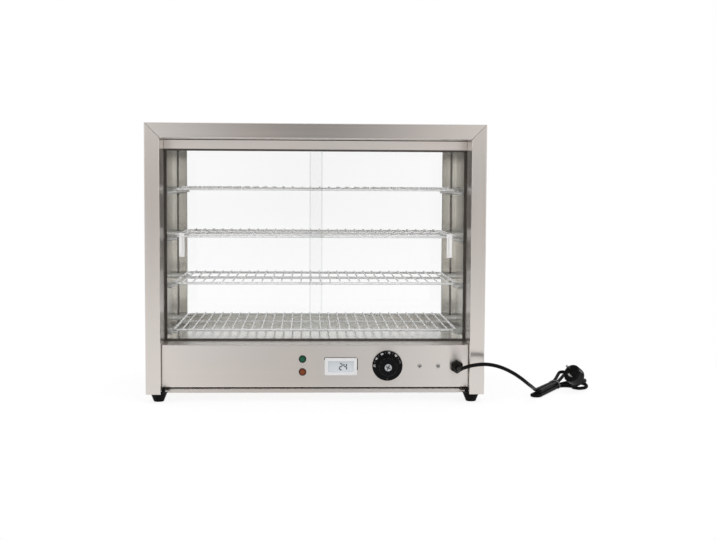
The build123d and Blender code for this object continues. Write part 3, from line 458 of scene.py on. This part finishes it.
def ink_and_gap_shade(name, tone, roughness=0.5, dust=0.02, shine=0.2):
    """Print, and the painted shade of a narrow gap or recess."""
    return moulding(name, tone, roughness, grain_size=0.3, dust=dust, depth=0.005, shine=shine)


def pull_plastic(name, tone, painted_light_inside):
    """White pull stuck to a pane; a look through the pane ends inside it, so its inside faces give off a
    fixed grey as painted light.
    """
    material = moulding(name, tone, roughness=0.34, grain_size=0.5, depth=0.015)
    tree = material.node_tree
    shader = tree.nodes["Principled BSDF"]
    inside = add_node(tree, "ShaderNodeNewGeometry").outputs["Backfacing"]
    # Painted light: faces seen from inside the pull emit a fixed grey, though the pull is no lamp.
    wire(tree, mix_colours(tree, inside, BLACK, painted_light_inside), shader.inputs["Emission Color"])
    shader.inputs["Emission Strength"].default_value = 1.0
    return material


def lamp_lens(name, tone, crown_highlight_tone):
    """Ribbed pilot lens: a painted highlight lightens its forward-facing crown, and rings of the moulded dome
    catch the light.
    """
    crown_highlight_band = (-1.0, -0.72)
    crown_highlight_share = 0.75
    ring_count = 60.0
    material, tree, shader = new_finish(name)
    skin = place_group(tree, MOULDED_SKIN, tone=tone, dust=0.015, grain_size=0.5 * MM, roughness=0.2,
                       roughness_spread=0.1)
    facing = split(tree, coordinate(tree, "Normal"))
    # Painted highlight: faces pointing towards -Y are mixed towards the lighter crown tone.
    crown = math_node(tree, "MULTIPLY", spread(tree, facing["Y"], *crown_highlight_band, 1.0, 0.0), crown_highlight_share)
    paint(tree, shader, mix_colours(tree, crown, skin.outputs["Color"], crown_highlight_tone), skin.outputs["Roughness"])
    shader.inputs["Specular IOR Level"].default_value = 0.15
    rings = math_node(tree, "SINE", math_node(tree, "MULTIPLY", facing["Y"], ring_count))
    bump(tree, shader, rings, depth=0.06, strength=0.4)
    return material


def clear_glass(name, face_tone, edge_tone):
    """Float glass that lets the lamps' light through."""
    material, tree, shader = new_finish(name)
    wiped = place_group(tree, WIPED_GLASS, face_tone=face_tone, edge_tone=edge_tone, streak=0.025)
    paint(tree, shader, wiped.outputs["Color"], wiped.outputs["Roughness"])
    shader.inputs["Metallic"].default_value = 0.0
    shader.inputs["Transmission Weight"].default_value = 1.0
    shader.inputs["IOR"].default_value = 1.33
    in_shadow = add_node(tree, "ShaderNodeLightPath").outputs["Is Shadow Ray"]
    either = mix_shaders(tree, in_shadow, shader, add_node(tree, "ShaderNodeBsdfTransparent"))
    wire(tree, either.outputs[0], tree.nodes["Material Output"].inputs["Surface"])
    return material


def display_face(name):
    """Pale reading window, greyed with painted shade towards its upper edge."""
    lower_tone, shaded_upper_tone = (0.56, 0.59, 0.615), (0.40, 0.43, 0.46)
    skin_tone = (0.48, 0.51, 0.54)
    skin_share = 0.5
    material, tree, shader = new_finish(name)
    low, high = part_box("thermometer_display")
    rise = spread(tree, split(tree, coordinate(tree, "Object"))["Z"], low.z, high.z)
    skin = place_group(tree, MOULDED_SKIN, tone=skin_tone, dust=0.03, grain_size=0.3 * MM, roughness=0.16,
                       roughness_spread=0.08)
    # Painted shade: the tone greys towards the window's upper edge.
    tone = mix_colours(tree, rise, lower_tone, shaded_upper_tone)
    paint(tree, shader, mix_colours(tree, skin_share, tone, skin.outputs["Color"]), skin.outputs["Roughness"])
    shader.inputs["Coat Weight"].default_value = 0.6
    shader.inputs["Coat Roughness"].default_value = 0.05
    return material


CASE_TONE = (0.62, 0.584, 0.565)
INNER_TONE = (0.80, 0.785, 0.745)

# Finish of each slot
FINISHES = {
    "brushed_case": brushed_steel("case_steel_across", "X", CASE_TONE, roughness=0.32),
    "inner_steel": brushed_steel("inner_steel", "Z", INNER_TONE, roughness=0.48, tone_spread=0.12,
                                 anisotropic=0.4),
    "shelf_wire": bright_metal("shelf_chrome", (0.95, 0.95, 0.95), roughness=0.27, grain_size=3.0,
                               metallic=0.4),
    "peg_steel": bright_metal("peg_chrome", (0.93, 0.93, 0.92), roughness=0.3, grain_size=2.0, metallic=0.6),
    "pane_glass": clear_glass("customer_pane", (0.992, 0.996, 0.994), (0.42, 0.66, 0.56)),
    "door_glass": clear_glass("door_pane", (0.99, 0.995, 0.993), (0.30, 0.48, 0.40)),
    "white_plastic": pull_plastic("pull_white", (0.83, 0.83, 0.82), (0.36, 0.36, 0.355)),
    "seal_rubber": moulding("gasket_rubber", (0.012, 0.012, 0.012), roughness=0.6, grain_size=0.5, dust=0.01,
                            shine=0.2),
    "black_track": moulding("track_black", (0.055, 0.047, 0.040), roughness=0.45, dust=0.006, shine=0.08),
    "element_sheath": bright_metal("element_sheath", (0.24, 0.22, 0.21), roughness=0.46),
    "foot_rubber": moulding("foot_rubber", (0.003, 0.003, 0.003), roughness=0.5, grain_size=0.8, dust=0.003,
                            shine=0.05, edge_wear_and_highlight=(0.012, 0.012, 0.012)),
    "screw_steel": bright_metal("screw_plate", (0.50, 0.49, 0.48), roughness=0.35),
    "green_lens": lamp_lens("green_lens", (0.002, 0.022, 0.012), (0.006, 0.10, 0.048)),
    "amber_lens": lamp_lens("amber_lens", (0.055, 0.013, 0.005), (0.23, 0.052, 0.014)),
    "black_plastic": moulding("black_moulding", (0.004, 0.0035, 0.003), roughness=0.4, dust=0.004, shine=0.06,
                              edge_wear_and_highlight=(0.03, 0.028, 0.025)),
    "display_glass": display_face("reading_window"),
    "thermostat_ceramic": moulding("cream_ceramic", (0.74, 0.71, 0.64), roughness=0.42, dust=0.03),
    "copper_bulb": bright_metal("copper_bulb", (0.66, 0.36, 0.23), roughness=0.3),
    "knob_black": moulding("knob_black", (0.003, 0.003, 0.0035), roughness=0.36, dust=0.003, depth=0.015,
                           shine=0.07, edge_wear_and_highlight=(0.05, 0.05, 0.055)),
    "knob_cap_silver": bright_metal("knob_cap", (0.46, 0.48, 0.49), roughness=0.3, grain_size=1.2),
    "cord_rubber": moulding("cord_rubber", (0.003, 0.003, 0.0032), roughness=0.42, grain_size=0.9, dust=0.003,
                            shine=0.06),
    "tie_strap": moulding("tie_strap", (0.085, 0.085, 0.087), roughness=0.5, grain_size=0.4, shine=0.25),
    "plug_rubber": moulding("plug_black", (0.003, 0.003, 0.0032), roughness=0.42, grain_size=0.7, dust=0.004,
                            shine=0.08, edge_wear_and_highlight=(0.09, 0.09, 0.09)),
    "pin_brass": bright_metal("pin_nickel", (0.34, 0.33, 0.32), roughness=0.3),
}

# Solids whose finish differs from that of their slot
UPRIGHT_STEEL = brushed_steel("case_steel_upright", "Z", CASE_TONE, roughness=0.25)
LIP_STEEL = brushed_steel("lip_steel", "X", (0.65, 0.615, 0.595), roughness=0.36)
WALL_STEEL = brushed_steel("wall_steel", "Z", INNER_TONE, roughness=0.2, tone_spread=0.12)
TRACK_GREY = moulding("track_grey", (0.085, 0.075, 0.066), roughness=0.5, dust=0.006, shine=0.08)
NODE_FINISHES = {
    "left_side_panel": UPRIGHT_STEEL,
    "right_side_panel": UPRIGHT_STEEL,
    "top_panel": brushed_steel("top_steel", "X", CASE_TONE, roughness=0.24),
    "door_header": brushed_steel("header_steel", "X", (0.77, 0.725, 0.705), roughness=0.38),
    "control_panel": brushed_steel("panel_steel", "X", (0.70, 0.66, 0.64), roughness=0.30),
    "base_pan": LIP_STEEL,
    "left_inner_wall": WALL_STEEL,
    "right_inner_wall": WALL_STEEL,
    "glass_retainer": WALL_STEEL,
    "inner_ceiling": brushed_steel("inner_steel_across", "X", INNER_TONE, roughness=0.3, tone_spread=0.12,
                                   anisotropic=0.7),
    # Painted light: the chamber floor is lighter than INNER_TONE, standing in for light that falls into the
    # chamber.
    "floor_plate": brushed_steel("floor_steel_painted_light", "X", (0.90, 0.89, 0.87), roughness=0.17, tone_spread=0.12,
                                 anisotropic=0.5),
    "bottom_track": TRACK_GREY,
    "top_track": TRACK_GREY,
    "thermometer_housing": moulding("bezel_white", (0.60, 0.60, 0.61), roughness=0.36, grain_size=0.5,
                                    depth=0.015, shine=0.3, edge_wear_and_highlight=(0.80, 0.80, 0.80)),
    "plug_earth_strips": bright_metal("earth_strip", (0.10, 0.098, 0.095), roughness=0.5, metallic=0.5),
}

# Finishes of the pieces made here
GROUND_EDGE = clear_glass("ground_edge", (0.905, 0.915, 0.91), (0.42, 0.60, 0.52))
PRINT_WHITE = ink_and_gap_shade("dial_print", (0.80, 0.80, 0.79), shine=0.5)
PRINT_GREY = ink_and_gap_shade("dial_marks", (0.13, 0.12, 0.12))
PRINT_DARK = ink_and_gap_shade("reading_bars", (0.055, 0.06, 0.075), roughness=0.4)
# Painted shade of the cross recesses in the screw heads and the knob's cap.
RECESS_SHADE = ink_and_gap_shade("screw_recess", (0.05, 0.05, 0.05))
# Painted shade of the mitre gaps, the header joint and the thermometer's cut-out gap.
SEAM_SHADE = ink_and_gap_shade("seam_shadow", (0.030, 0.024, 0.020), roughness=0.6, dust=0.01, shine=0.1)


def dress_nodes():
    """Gives every solid of the frame its own finish, or else that of its slot."""
    for subpart in frame["record"]["subparts"]:
        node = frame["nodes"][subpart["node"]]
        finish = NODE_FINISHES.get(subpart["node"], FINISHES[subpart["material_slot"]])
        if not node.material_slots:
            node.data.materials.append(finish)
        for slot in node.material_slots:
            slot.material = finish


# Pieces made here; their forms are drawn in millimetres

def finish_piece(name, data, body, material):
    """Object for a new piece that rides on a body, with its finish."""
    piece = bpy.data.objects.new(name, data)
    bpy.context.scene.collection.objects.link(piece)
    data.materials.append(material)
    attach(piece, body)
    return piece


def form_piece(name, form, body, material):
    """New piece from a form, in metres and with its normals outward."""
    bmesh.ops.scale(form, vec=(MM, MM, MM), verts=form.verts)
    bmesh.ops.recalc_face_normals(form, faces=form.faces)
    mesh = bpy.data.meshes.new(name)
    form.to_mesh(mesh)
    form.free()
    return finish_piece(name, mesh, body, material)


def box_mm(node):
    """Lowest and highest corner of a solid."""
    return [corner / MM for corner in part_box(node)]


def near_face(node):
    """Middle of the near face of a solid's box."""
    low, high = box_mm(node)
    return Vector(((low.x + high.x) / 2, low.y, (low.z + high.z) / 2))


def frame_of(x, y, z, at):
    """Matrix of a frame from its axes and origin."""
    return Matrix([(x[i], y[i], z[i], at[i]) for i in range(3)] + [(0.0, 0.0, 0.0, 1.0)])


def at_depth(y):
    return Matrix.Translation((0.0, y, 0.0))


def bridge(form, first, second):
    """Faces between two closed rows of points."""
    count = len(first)
    for k in range(count):
        m = (k + 1) % count
        form.faces.new([first[k], first[m], second[m], second[k]])


def add_prism(form, outline, place, thickness):
    """Closed prism of a flat outline, drawn in X and Z of its place and thickened towards -Y."""
    back = [form.verts.new(place @ Vector((x, 0.0, z))) for x, z in outline]
    front = [form.verts.new(place @ Vector((x, -thickness, z))) for x, z in outline]
    form.faces.new(back)
    form.faces.new(list(reversed(front)))
    bridge(form, back, front)


def add_turned(form, profile, place):
    """Closed ring: a profile of radius and height turned about Y of its place, with height towards -Y."""
    rings = []
    for i in range(TURN_STEPS):
        angle = 2 * math.pi * i / TURN_STEPS
        rings.append([form.verts.new(place @ Vector((r * math.cos(angle), -h, r * math.sin(angle))))
                      for r, h in profile])
    for first, second in zip(rings, rings[1:] + rings[:1]):
        bridge(form, first, second)


def rectangle(x0, z0, x1, z1):
    return [(x0, z0), (x1, z0), (x1, z1), (x0, z1)]


def both_sides(outline):
    """An outline on the right of the case and its mirror image on the left."""
    return [[(side * x, z) for x, z in outline] for side in (-1, 1)]


def hank_place(u, v, z):
    """Point of the hank's own frame, in the frame of the case."""
    return HANK_AT + Matrix.Rotation(math.radians(HANK_HEADING), 3, "Z") @ Vector((u, v, z))


def mains_cord():
    """The whole cord on one smooth line, from the gland to the plug; returned with its start."""
    route = [GLAND_NOSE + Vector(p) for p in CORD_ROUTE] + [hank_place(*p) for p in HANK_ROUTE]
    curve = bpy.data.curves.new("mains_cord", "CURVE")
    curve.dimensions = "3D"
    spline = curve.splines.new("NURBS")
    spline.points.add(len(route) - 1)
    for point, place in zip(spline.points, route):
        point.co = (*(place * MM), 1.0)
    spline.order_u = 3
    spline.use_endpoint_u = True
    curve.resolution_u = 8
    curve.bevel_depth = CORD_DIAMETER / 2 * MM
    curve.bevel_resolution = 5
    curve.use_fill_caps = True
    cord = finish_piece("mains_cord", curve, "case", FINISHES["cord_rubber"])
    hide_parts("cord_stretch", "cord_hank")
    return cord, route[0] * MM


def hank_tie():
    """Soft strap round the hank's waist, narrower over the upper strands, its free end lapped on top."""
    half_width = HANK_STEP + CORD_DIAMETER / 2 + TIE_SIDE_SLACK
    half_height = (HANK_HIGH - HANK_LOW + CORD_DIAMETER) / 2 + TIE_TOP_SLACK
    middle = (HANK_HIGH + HANK_LOW) / 2
    shoulder = TIE_HALF_WIDTH - 0.3
    crown = TIE_THICKNESS * 1.15
    section = [(-TIE_HALF_WIDTH, 0.0), (-shoulder, TIE_THICKNESS), (0.0, crown), (shoulder, TIE_THICKNESS),
               (TIE_HALF_WIDTH, 0.0)]
    lap_height = TIE_THICKNESS * 1.25
    sideways, upwards = 0.7, 0.55
    form = bmesh.new()
    rings = []
    for i in range(TIE_STEPS + TIE_LAP_STEPS + 1):
        angle = 2 * math.pi * i / TIE_STEPS + math.radians(TIE_FIRST_ANGLE)
        lift = lap_height * min(1.0, max(0.0, (i - TIE_STEPS + TIE_LIFT_STEPS) / TIE_LIFT_STEPS))
        cosine, sine = math.cos(angle), math.sin(angle)
        grow = (abs(cosine) ** TIE_SQUARENESS + abs(sine) ** TIE_SQUARENESS) ** (-1 / TIE_SQUARENESS)
        taper = 1 - TIE_UPPER_TAPER * max(0.0, grow * sine)
        ring = []
        for u, raised in section:
            v = grow * cosine * (half_width + raised * sideways + lift) * taper
            z = middle + grow * sine * (half_height + raised * upwards + lift)
            ring.append(form.verts.new(hank_place(TIE_MIDDLE + u, v, max(z, TIE_GROUND_GAP))))
        rings.append(ring)
    for first, second in zip(rings, rings[1:]):
        bridge(form, first, second)
    form.faces.new(rings[0])
    form.faces.new(list(reversed(rings[-1])))
    tie = form_piece("hank_tie", form, "case", FINISHES["tie_strap"])
    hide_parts("cord_tie")
    return tie


def printed_figures(words, height):
    """Thin mesh of printed figures, centred, in its own X and Y."""
    curve = bpy.data.curves.new("figures", "FONT")
    curve.body = words
    curve.size = height
    curve.align_x = "CENTER"
    curve.align_y = "CENTER"
    curve.extrude = 0.02
    holder = bpy.data.objects.new("figures", curve)
    bpy.context.scene.collection.objects.link(holder)
    bpy.context.view_layer.update()
    mesh = bpy.data.meshes.new_from_object(holder.evaluated_get(bpy.context.evaluated_depsgraph_get()))
    bpy.data.objects.remove(holder)
    bpy.data.curves.remove(curve)
    return mesh


def on_skirt(radius, degrees, proud):
    """Frame on the dial's sloping skirt: X along the rim, Y outward, Z off the skirt."""
    low, high = box_mm("thermostat_knob")
    centre = Vector(((low.x + high.x) / 2, high.y, (low.z + high.z) / 2))
    slope = SKIRT_RISE / (SKIRT_RIM_RADIUS - SKIRT_INNER_RADIUS)
    height = SKIRT_RIM_HEIGHT + slope * (SKIRT_RIM_RADIUS - radius)
    angle = math.radians(degrees)
    outward = Vector((math.cos(angle), 0.0, math.sin(angle)))
    face = (AHEAD + outward * slope).normalized()
    upward = (outward - face * outward.dot(face)).normalized()
    at = centre + outward * radius + AHEAD * height + face * proud
    return frame_of(upward.cross(face), upward, face, at)


def add_number(form, index):
    """One printed number of the dial."""
    figures = printed_figures(DIAL_NUMBERS[index], DIAL_NUMBER_HEIGHT)
    figures.transform(on_skirt(DIAL_NUMBER_RADIUS, DIAL_FIRST_ANGLE - DIAL_NUMBER_STEP * index, proud=0.05))
    form.from_mesh(figures)
    bpy.data.meshes.remove(figures)


def dial_print():
    """Numbers printed on the dial's skirt, all but the last one, which is printed grey."""
    form = bmesh.new()
    for index in range(len(DIAL_NUMBERS) - 1):
        add_number(form, index)
    form_piece("dial_print", form, "dial", PRINT_WHITE)


def dial_marks():
    """Ticks between the numbers, the index below and the last number, all printed grey."""
    between = [DIAL_FIRST_ANGLE - DIAL_NUMBER_STEP * (i + 0.5) for i in range(len(DIAL_NUMBERS) - 1)]
    tick = rectangle(-0.45, -1.4, 0.45, 1.4)
    lying = Matrix.Rotation(math.radians(90), 4, "X")
    form = bmesh.new()
    add_number(form, len(DIAL_NUMBERS) - 1)
    for degrees in between + [DIAL_INDEX_ANGLE]:
        add_prism(form, tick, on_skirt(DIAL_TICK_RADIUS, degrees, proud=0.0) @ lying, thickness=0.08)
    form_piece("dial_marks", form, "dial", PRINT_GREY)


def figure_bars(figure, width, height, bar):
    """Outlines of the lit bars of one figure, about its centre."""
    half_w = width / 2 - bar / 2
    half_h = height / 2 - bar / 2
    gap = 0.12 * bar
    tip = bar / 2
    places = {"a": (0, half_h, 0), "g": (0, 0, 0), "d": (0, -half_h, 0), "f": (-half_w, half_h / 2, 1),
              "b": (half_w, half_h / 2, 1), "e": (-half_w, -half_h / 2, 1), "c": (half_w, -half_h / 2, 1)}
    outlines = []
    for name in FIGURE_BARS[figure]:
        x, z, upright = places[name]
        half = (half_h / 2 if upright else half_w) - gap
        shape = [(-half, 0), (-half + tip, tip), (half - tip, tip), (half, 0), (half - tip, -tip),
                 (-half + tip, -tip)]
        outlines.append([(x + b, z + a) if upright else (x + a, z + b) for a, b in shape])
    return outlines


def reading_bars():
    """Figures of the reading on the thermometer's window."""
    window = Matrix.Translation(near_face("thermometer_display"))
    pitch = 8.6
    first_x = -0.2
    form = bmesh.new()
    for i, figure in enumerate(READING):
        for outline in figure_bars(figure, width=7.2, height=14.5, bar=2.2):
            add_prism(form, [(first_x + pitch * i + x, z) for x, z in outline], window, thickness=0.06)
    form_piece("reading_bars", form, "case", PRINT_DARK)


def add_cross(form, at, degrees, arm, half, thickness):
    """Flat cross for the recess in a screw head, with arms of a length and half width; its dark finish is
    painted shade.
    """
    cross = [(half, half), (half, arm), (-half, arm), (-half, half), (-arm, half), (-arm, -half),
             (-half, -half), (-half, -arm), (half, -arm), (half, -half), (arm, -half), (arm, half)]
    add_prism(form, cross, Matrix.Translation(at) @ Matrix.Rotation(math.radians(degrees), 4, "Y"), thickness)


def screw_recess_shades():
    """Dark crosses of painted shade for the cross recesses in the heads of the two panel screws."""
    low, high = box_mm("terminal_screws")
    head_radius = 4.0
    z = (low.z + high.z) / 2
    form = bmesh.new()
    for x, degrees in ((low.x + head_radius, 12.0), (high.x - head_radius, 38.0)):
        add_cross(form, (x, low.y, z), degrees, arm=2.6, half=0.75, thickness=0.04)
    form_piece("screw_recess_shades", form, "case", RECESS_SHADE)


def seam_shade_lines():
    """Dark strips of painted shade in the mitre gaps of the top panel and in the joint over the door header.
    """
    low, high = box_mm("top_panel")
    sheet = 1.0
    gap = depth = 0.8
    inset = 0.1
    near_flange, far_flange = 28.5, 40.0
    form = bmesh.new()
    for flange, back in ((near_flange, low.y + inset + depth), (far_flange, high.y - inset)):
        inner_x, inner_z = high.x - flange, high.z - flange
        outer_x, outer_z = high.x - sheet, high.z - sheet
        mitre = [(inner_x, inner_z), (outer_x, outer_z), (outer_x - gap, outer_z), (inner_x - gap, inner_z)]
        for outline in both_sides(mitre):
            add_prism(form, outline, at_depth(back), depth)
    low, high = box_mm("door_header")
    joint = rectangle(low.x, high.z - 1.5, high.x, high.z - 0.05)
    add_prism(form, joint, at_depth(low.y), thickness=0.25)
    form_piece("seam_shade_lines", form, "case", SEAM_SHADE)


def bezel_gap_shade():
    """Dark strips of painted shade where the gap of the panel's cut-out shows over the thermometer and beside
    it.
    """
    low, high = box_mm("thermometer_housing")
    face = at_depth(box_mm("control_panel")[0].y)
    over_gap, side_gap, corner_gap = 0.9, 1.7, 1.1
    over = rectangle(low.x - 0.4, high.z, high.x - 2.0, high.z + over_gap)
    beside = rectangle(high.x, low.z + 10.0, high.x + side_gap, high.z - 1.0)
    corner = rectangle(low.x - corner_gap, high.z - 4.0, low.x, high.z)
    form = bmesh.new()
    for outline in (over, beside, corner):
        add_prism(form, outline, face, thickness=0.15)
    form_piece("bezel_gap_shade", form, "case", SEAM_SHADE)


def cap_recess_shade():
    """Dark cross of painted shade for the cross recess in the silver cap of the knob."""
    form = bmesh.new()
    add_cross(form, near_face("knob_cap"), 28.0, arm=5.0, half=1.2, thickness=0.05)
    form_piece("cap_recess_shade", form, "dial", RECESS_SHADE)


def door_edges():
    """Ground edges of the two panes where the doors lap, between the tracks."""
    track_gap = 1.0
    low_z = box_mm("bottom_track")[1].z + track_gap
    high_z = box_mm("top_track")[0].z - track_gap
    width = 3.0
    air = 0.05
    for body, leads_right in (("left_door", True), ("right_door", False)):
        low, high = box_mm(body + "_glass")
        edge = high.x - width if leads_right else low.x
        form = bmesh.new()
        add_prism(form, rectangle(edge, low_z, edge + width, high_z), at_depth(low.y - air), thickness=0.25)
        form_piece(body + "_edge", form, body, GROUND_EDGE)


def lamp_rims():
    """Dark rims round the two pilot lenses."""
    profile = [(6.55, 0.0), (6.55, 1.0), (6.9, 1.3), (7.3, 0.9), (7.4, 0.0)]
    form = bmesh.new()
    for node in ("green_lamp_lens", "amber_lamp_lens"):
        at = near_face(node)
        at.y = box_mm("control_panel")[0].y
        add_turned(form, profile, Matrix.Translation(at))
    form_piece("lamp_rims", form, "case", FINISHES["black_plastic"])


def foot_collars_and_shade():
    """Rubber collars round the tops of the near feet, with flat rubber tabs beside the near posts; both
    partly stand in as painted shade for the cavity under the case corners.
    """
    profile = [(16.1, -6.0), (20.0, -2.6), (20.2, -0.8), (19.6, 0.0), (18.6, 0.0)]
    tab = [(288.0, 21.4), (294.9, 21.4), (294.9, 28.6), (288.6, 28.6)]
    tab_back = -199.35
    upright = Matrix.Rotation(math.radians(-90), 4, "X")
    below_panel = 0.1
    form = bmesh.new()
    for node in ("near_left_foot", "near_right_foot"):
        low, high = box_mm(node)
        at = Matrix.Translation(((low.x + high.x) / 2, (low.y + high.y) / 2, high.z - below_panel))
        add_turned(form, profile, at @ upright)
    for outline in both_sides(tab):
        add_prism(form, outline, at_depth(tab_back), thickness=1.0)
    form_piece("foot_collars_and_shade", form, "case", FINISHES["foot_rubber"])


def lip_ends():
    """Ends of the base lip, turned in behind the near feet."""
    plate = rectangle(281.2, 15.8, 290.0, 22.2)
    plate_back = -171.8
    form = bmesh.new()
    for outline in both_sides(plate):
        add_prism(form, outline, at_depth(plate_back), thickness=1.4)
    form_piece("lip_ends", form, "case", LIP_STEEL)


def plug_trim():
    """Raised ring on the plug's face and the grip rings round its shoulder."""
    mount = next(m for m in frame["record"]["mounts"] if m["name"] == "mains_plug")
    turn = AHEAD.rotation_difference(Vector(mount["axis"]))
    face = Matrix.Translation(Vector(mount["pos_m"]) / MM) @ turn.to_matrix().to_4x4()
    face_ring = [(13.0, -0.02), (13.4, 0.68), (15.0, 0.68), (15.4, -0.02)]
    grip_ring = [(-0.9, -0.9), (0.9, -0.5), (1.0, 0.3), (-0.2, 0.9)]
    grip_depths = (21.0, 24.0, 27.0)
    shoulder_depth, shoulder_radius, shoulder_slope = 20.6, 17.3, 0.8
    form = bmesh.new()
    add_turned(form, face_ring, face)
    for depth in grip_depths:
        radius = shoulder_radius - (depth - shoulder_depth) * shoulder_slope
        add_turned(form, [(radius + r, h - depth) for r, h in grip_ring], face)
    return form_piece("plug_trim", form, "case", FINISHES["plug_rubber"])


# Studio

def photo_camera():
    """Camera that stands and looks as the one of the photograph."""
    data = bpy.data.cameras.new("photo_camera")
    data.sensor_width = SENSOR_WIDTH
    data.lens = FOCAL_PIXELS * SENSOR_WIDTH / IMAGE_WIDTH
    yaw, pitch, roll = (math.radians(a) for a in (CAMERA_YAW, CAMERA_PITCH, CAMERA_ROLL))
    forward = Vector((math.sin(yaw) * math.cos(pitch), math.cos(yaw) * math.cos(pitch), -math.sin(pitch)))
    level = Vector((math.cos(yaw), -math.sin(yaw), 0.0))
    below = forward.cross(level)
    right = level * math.cos(roll) + below * math.sin(roll)
    down = below * math.cos(roll) - level * math.sin(roll)
    camera = bpy.data.objects.new("photo_camera", data)
    camera.matrix_world = frame_of(right, -down, -forward, CAMERA_AT)
    bpy.context.scene.collection.objects.link(camera)
    bpy.context.scene.camera = camera


def ray_kinds(tree):
    """1 for what is seen directly, mirrored or through glass, and 1 for what is seen by way of a mirror."""
    path = add_node(tree, "ShaderNodeLightPath").outputs
    bounced = math_node(tree, "MAXIMUM", path["Is Glossy Ray"], path["Is Transmission Ray"])
    seen = math_node(tree, "MAXIMUM", path["Is Camera Ray"], bounced)
    return seen, math_node(tree, "GREATER_THAN", path["Glossy Depth"], 0.5)


def room_tones(tree):
    """What metal mirrors: pale tables and walls, a dark strip between, dim at camera, lamps and overhead."""
    direction = split(tree, coordinate(tree, "Generated"))
    height = direction["Z"]
    sideways = math_node(tree, "ABSOLUTE", direction["X"])
    aside = spread(tree, sideways, *CAMERA_TO_ASIDE)
    wall, strip, table, ceiling = (mix_colours(tree, aside, *tones)
                                   for tones in (NEAR_WALL, NEAR_STRIP, NEAR_TABLE, NEAR_CEILING))
    near_room = mix_colours(tree, spread(tree, height, *NEAR_WALL_FOOT), strip, wall)
    near_room = mix_colours(tree, spread(tree, height, *NEAR_CEILING_EDGE), near_room, ceiling)
    at_lamps = math_node(tree, "MULTIPLY", spread(tree, sideways, *LAMPS_SIDE),
                         spread(tree, height, *LAMPS_FOOT))
    near_room = mix_colours(tree, at_lamps, near_room, BEHIND_LAMPS)
    near_side = mix_colours(tree, spread(tree, height, *NEAR_TABLE_EDGE), table, near_room)
    far_room = mix_colours(tree, spread(tree, height, *FAR_WALL_FOOT), FAR_STRIP, FAR_WALL)
    far_side = mix_colours(tree, spread(tree, height, *FAR_TABLE_EDGE), WHITE, far_room)
    around = mix_colours(tree, spread(tree, direction["Y"], *NEAR_TO_FAR), near_side, far_side)
    return mix_colours(tree, spread(tree, height, *OVERHEAD_EDGE), around, OVERHEAD)


def studio_world():
    """White backdrop, even light for matt surfaces, and the room that metal mirrors."""
    world = bpy.data.worlds.new("studio")
    bpy.context.scene.world = world
    world.use_nodes = True
    tree = world.node_tree
    backdrop = tree.nodes["Background"]
    backdrop.inputs["Strength"].default_value = 1.0
    seen, mirrored = ray_kinds(tree)
    seen_tone = mix_colours(tree, mirrored, WHITE, room_tones(tree))
    wire(tree, mix_colours(tree, seen, AMBIENT, seen_tone), backdrop.inputs["Color"])


def studio_floor():
    """Pale floor that keeps the shadow, fades out into the backdrop and isn't mirrored."""
    half = FLOOR_SIZE / 2
    mesh = bpy.data.meshes.new("floor")
    mesh.from_pydata([(-half, -half, 0.0), (half, -half, 0.0), (half, half, 0.0), (-half, half, 0.0)], [],
                     [(0, 1, 2, 3)])
    floor = bpy.data.objects.new("floor", mesh)
    bpy.context.scene.collection.objects.link(floor)
    material, tree, shader = new_finish("floor_white")
    tree.nodes.remove(shader)
    diffuse = add_node(tree, "ShaderNodeBsdfDiffuse")
    diffuse.inputs["Color"].default_value = (*FLOOR_TONE, 1.0)
    seen, mirrored = ray_kinds(tree)
    lit = mix_shaders(tree, math_node(tree, "MULTIPLY", seen, FLOOR_WHITE_SHARE), diffuse,
                      add_node(tree, "ShaderNodeEmission"))
    reach = add_node(tree, "ShaderNodeVectorMath", operation="LENGTH")
    wire(tree, coordinate(tree, "Object"), reach.inputs[0])
    fade = spread(tree, reach.outputs["Value"], FLOOR_CLEAR_RADIUS, FLOOR_FADE_RADIUS)
    out = mix_shaders(tree, math_node(tree, "MAXIMUM", fade, mirrored), lit,
                      add_node(tree, "ShaderNodeBsdfTransparent"))
    wire(tree, out.outputs[0], tree.nodes["Material Output"].inputs["Surface"])
    mesh.materials.append(material)


def studio_lamps():
    """Softboxes that all face the case."""
    for name, (at, (width, height), power) in SOFTBOXES.items():
        data = bpy.data.lights.new(name, "AREA")
        data.shape = "RECTANGLE"
        data.size = width
        data.size_y = height
        data.energy = power
        lamp = bpy.data.objects.new(name, data)
        lamp.location = at
        lamp.rotation_mode = "QUATERNION"
        lamp.rotation_quaternion = (LAMPS_AIM - Vector(at)).to_track_quat("-Z", "Y")
        bpy.context.scene.collection.objects.link(lamp)


photo_camera()
dress_nodes()
cord, cord_exit = mains_cord()
tie = hank_tie()
dial_print()
dial_marks()
reading_bars()
screw_recess_shades()
seam_shade_lines()
bezel_gap_shade()
cap_recess_shade()
door_edges()
lamp_rims()
foot_collars_and_shade()
lip_ends()
trim = plug_trim()
studio_world()
studio_floor()
studio_lamps()
bpy.context.scene.view_settings.view_transform = "Standard"
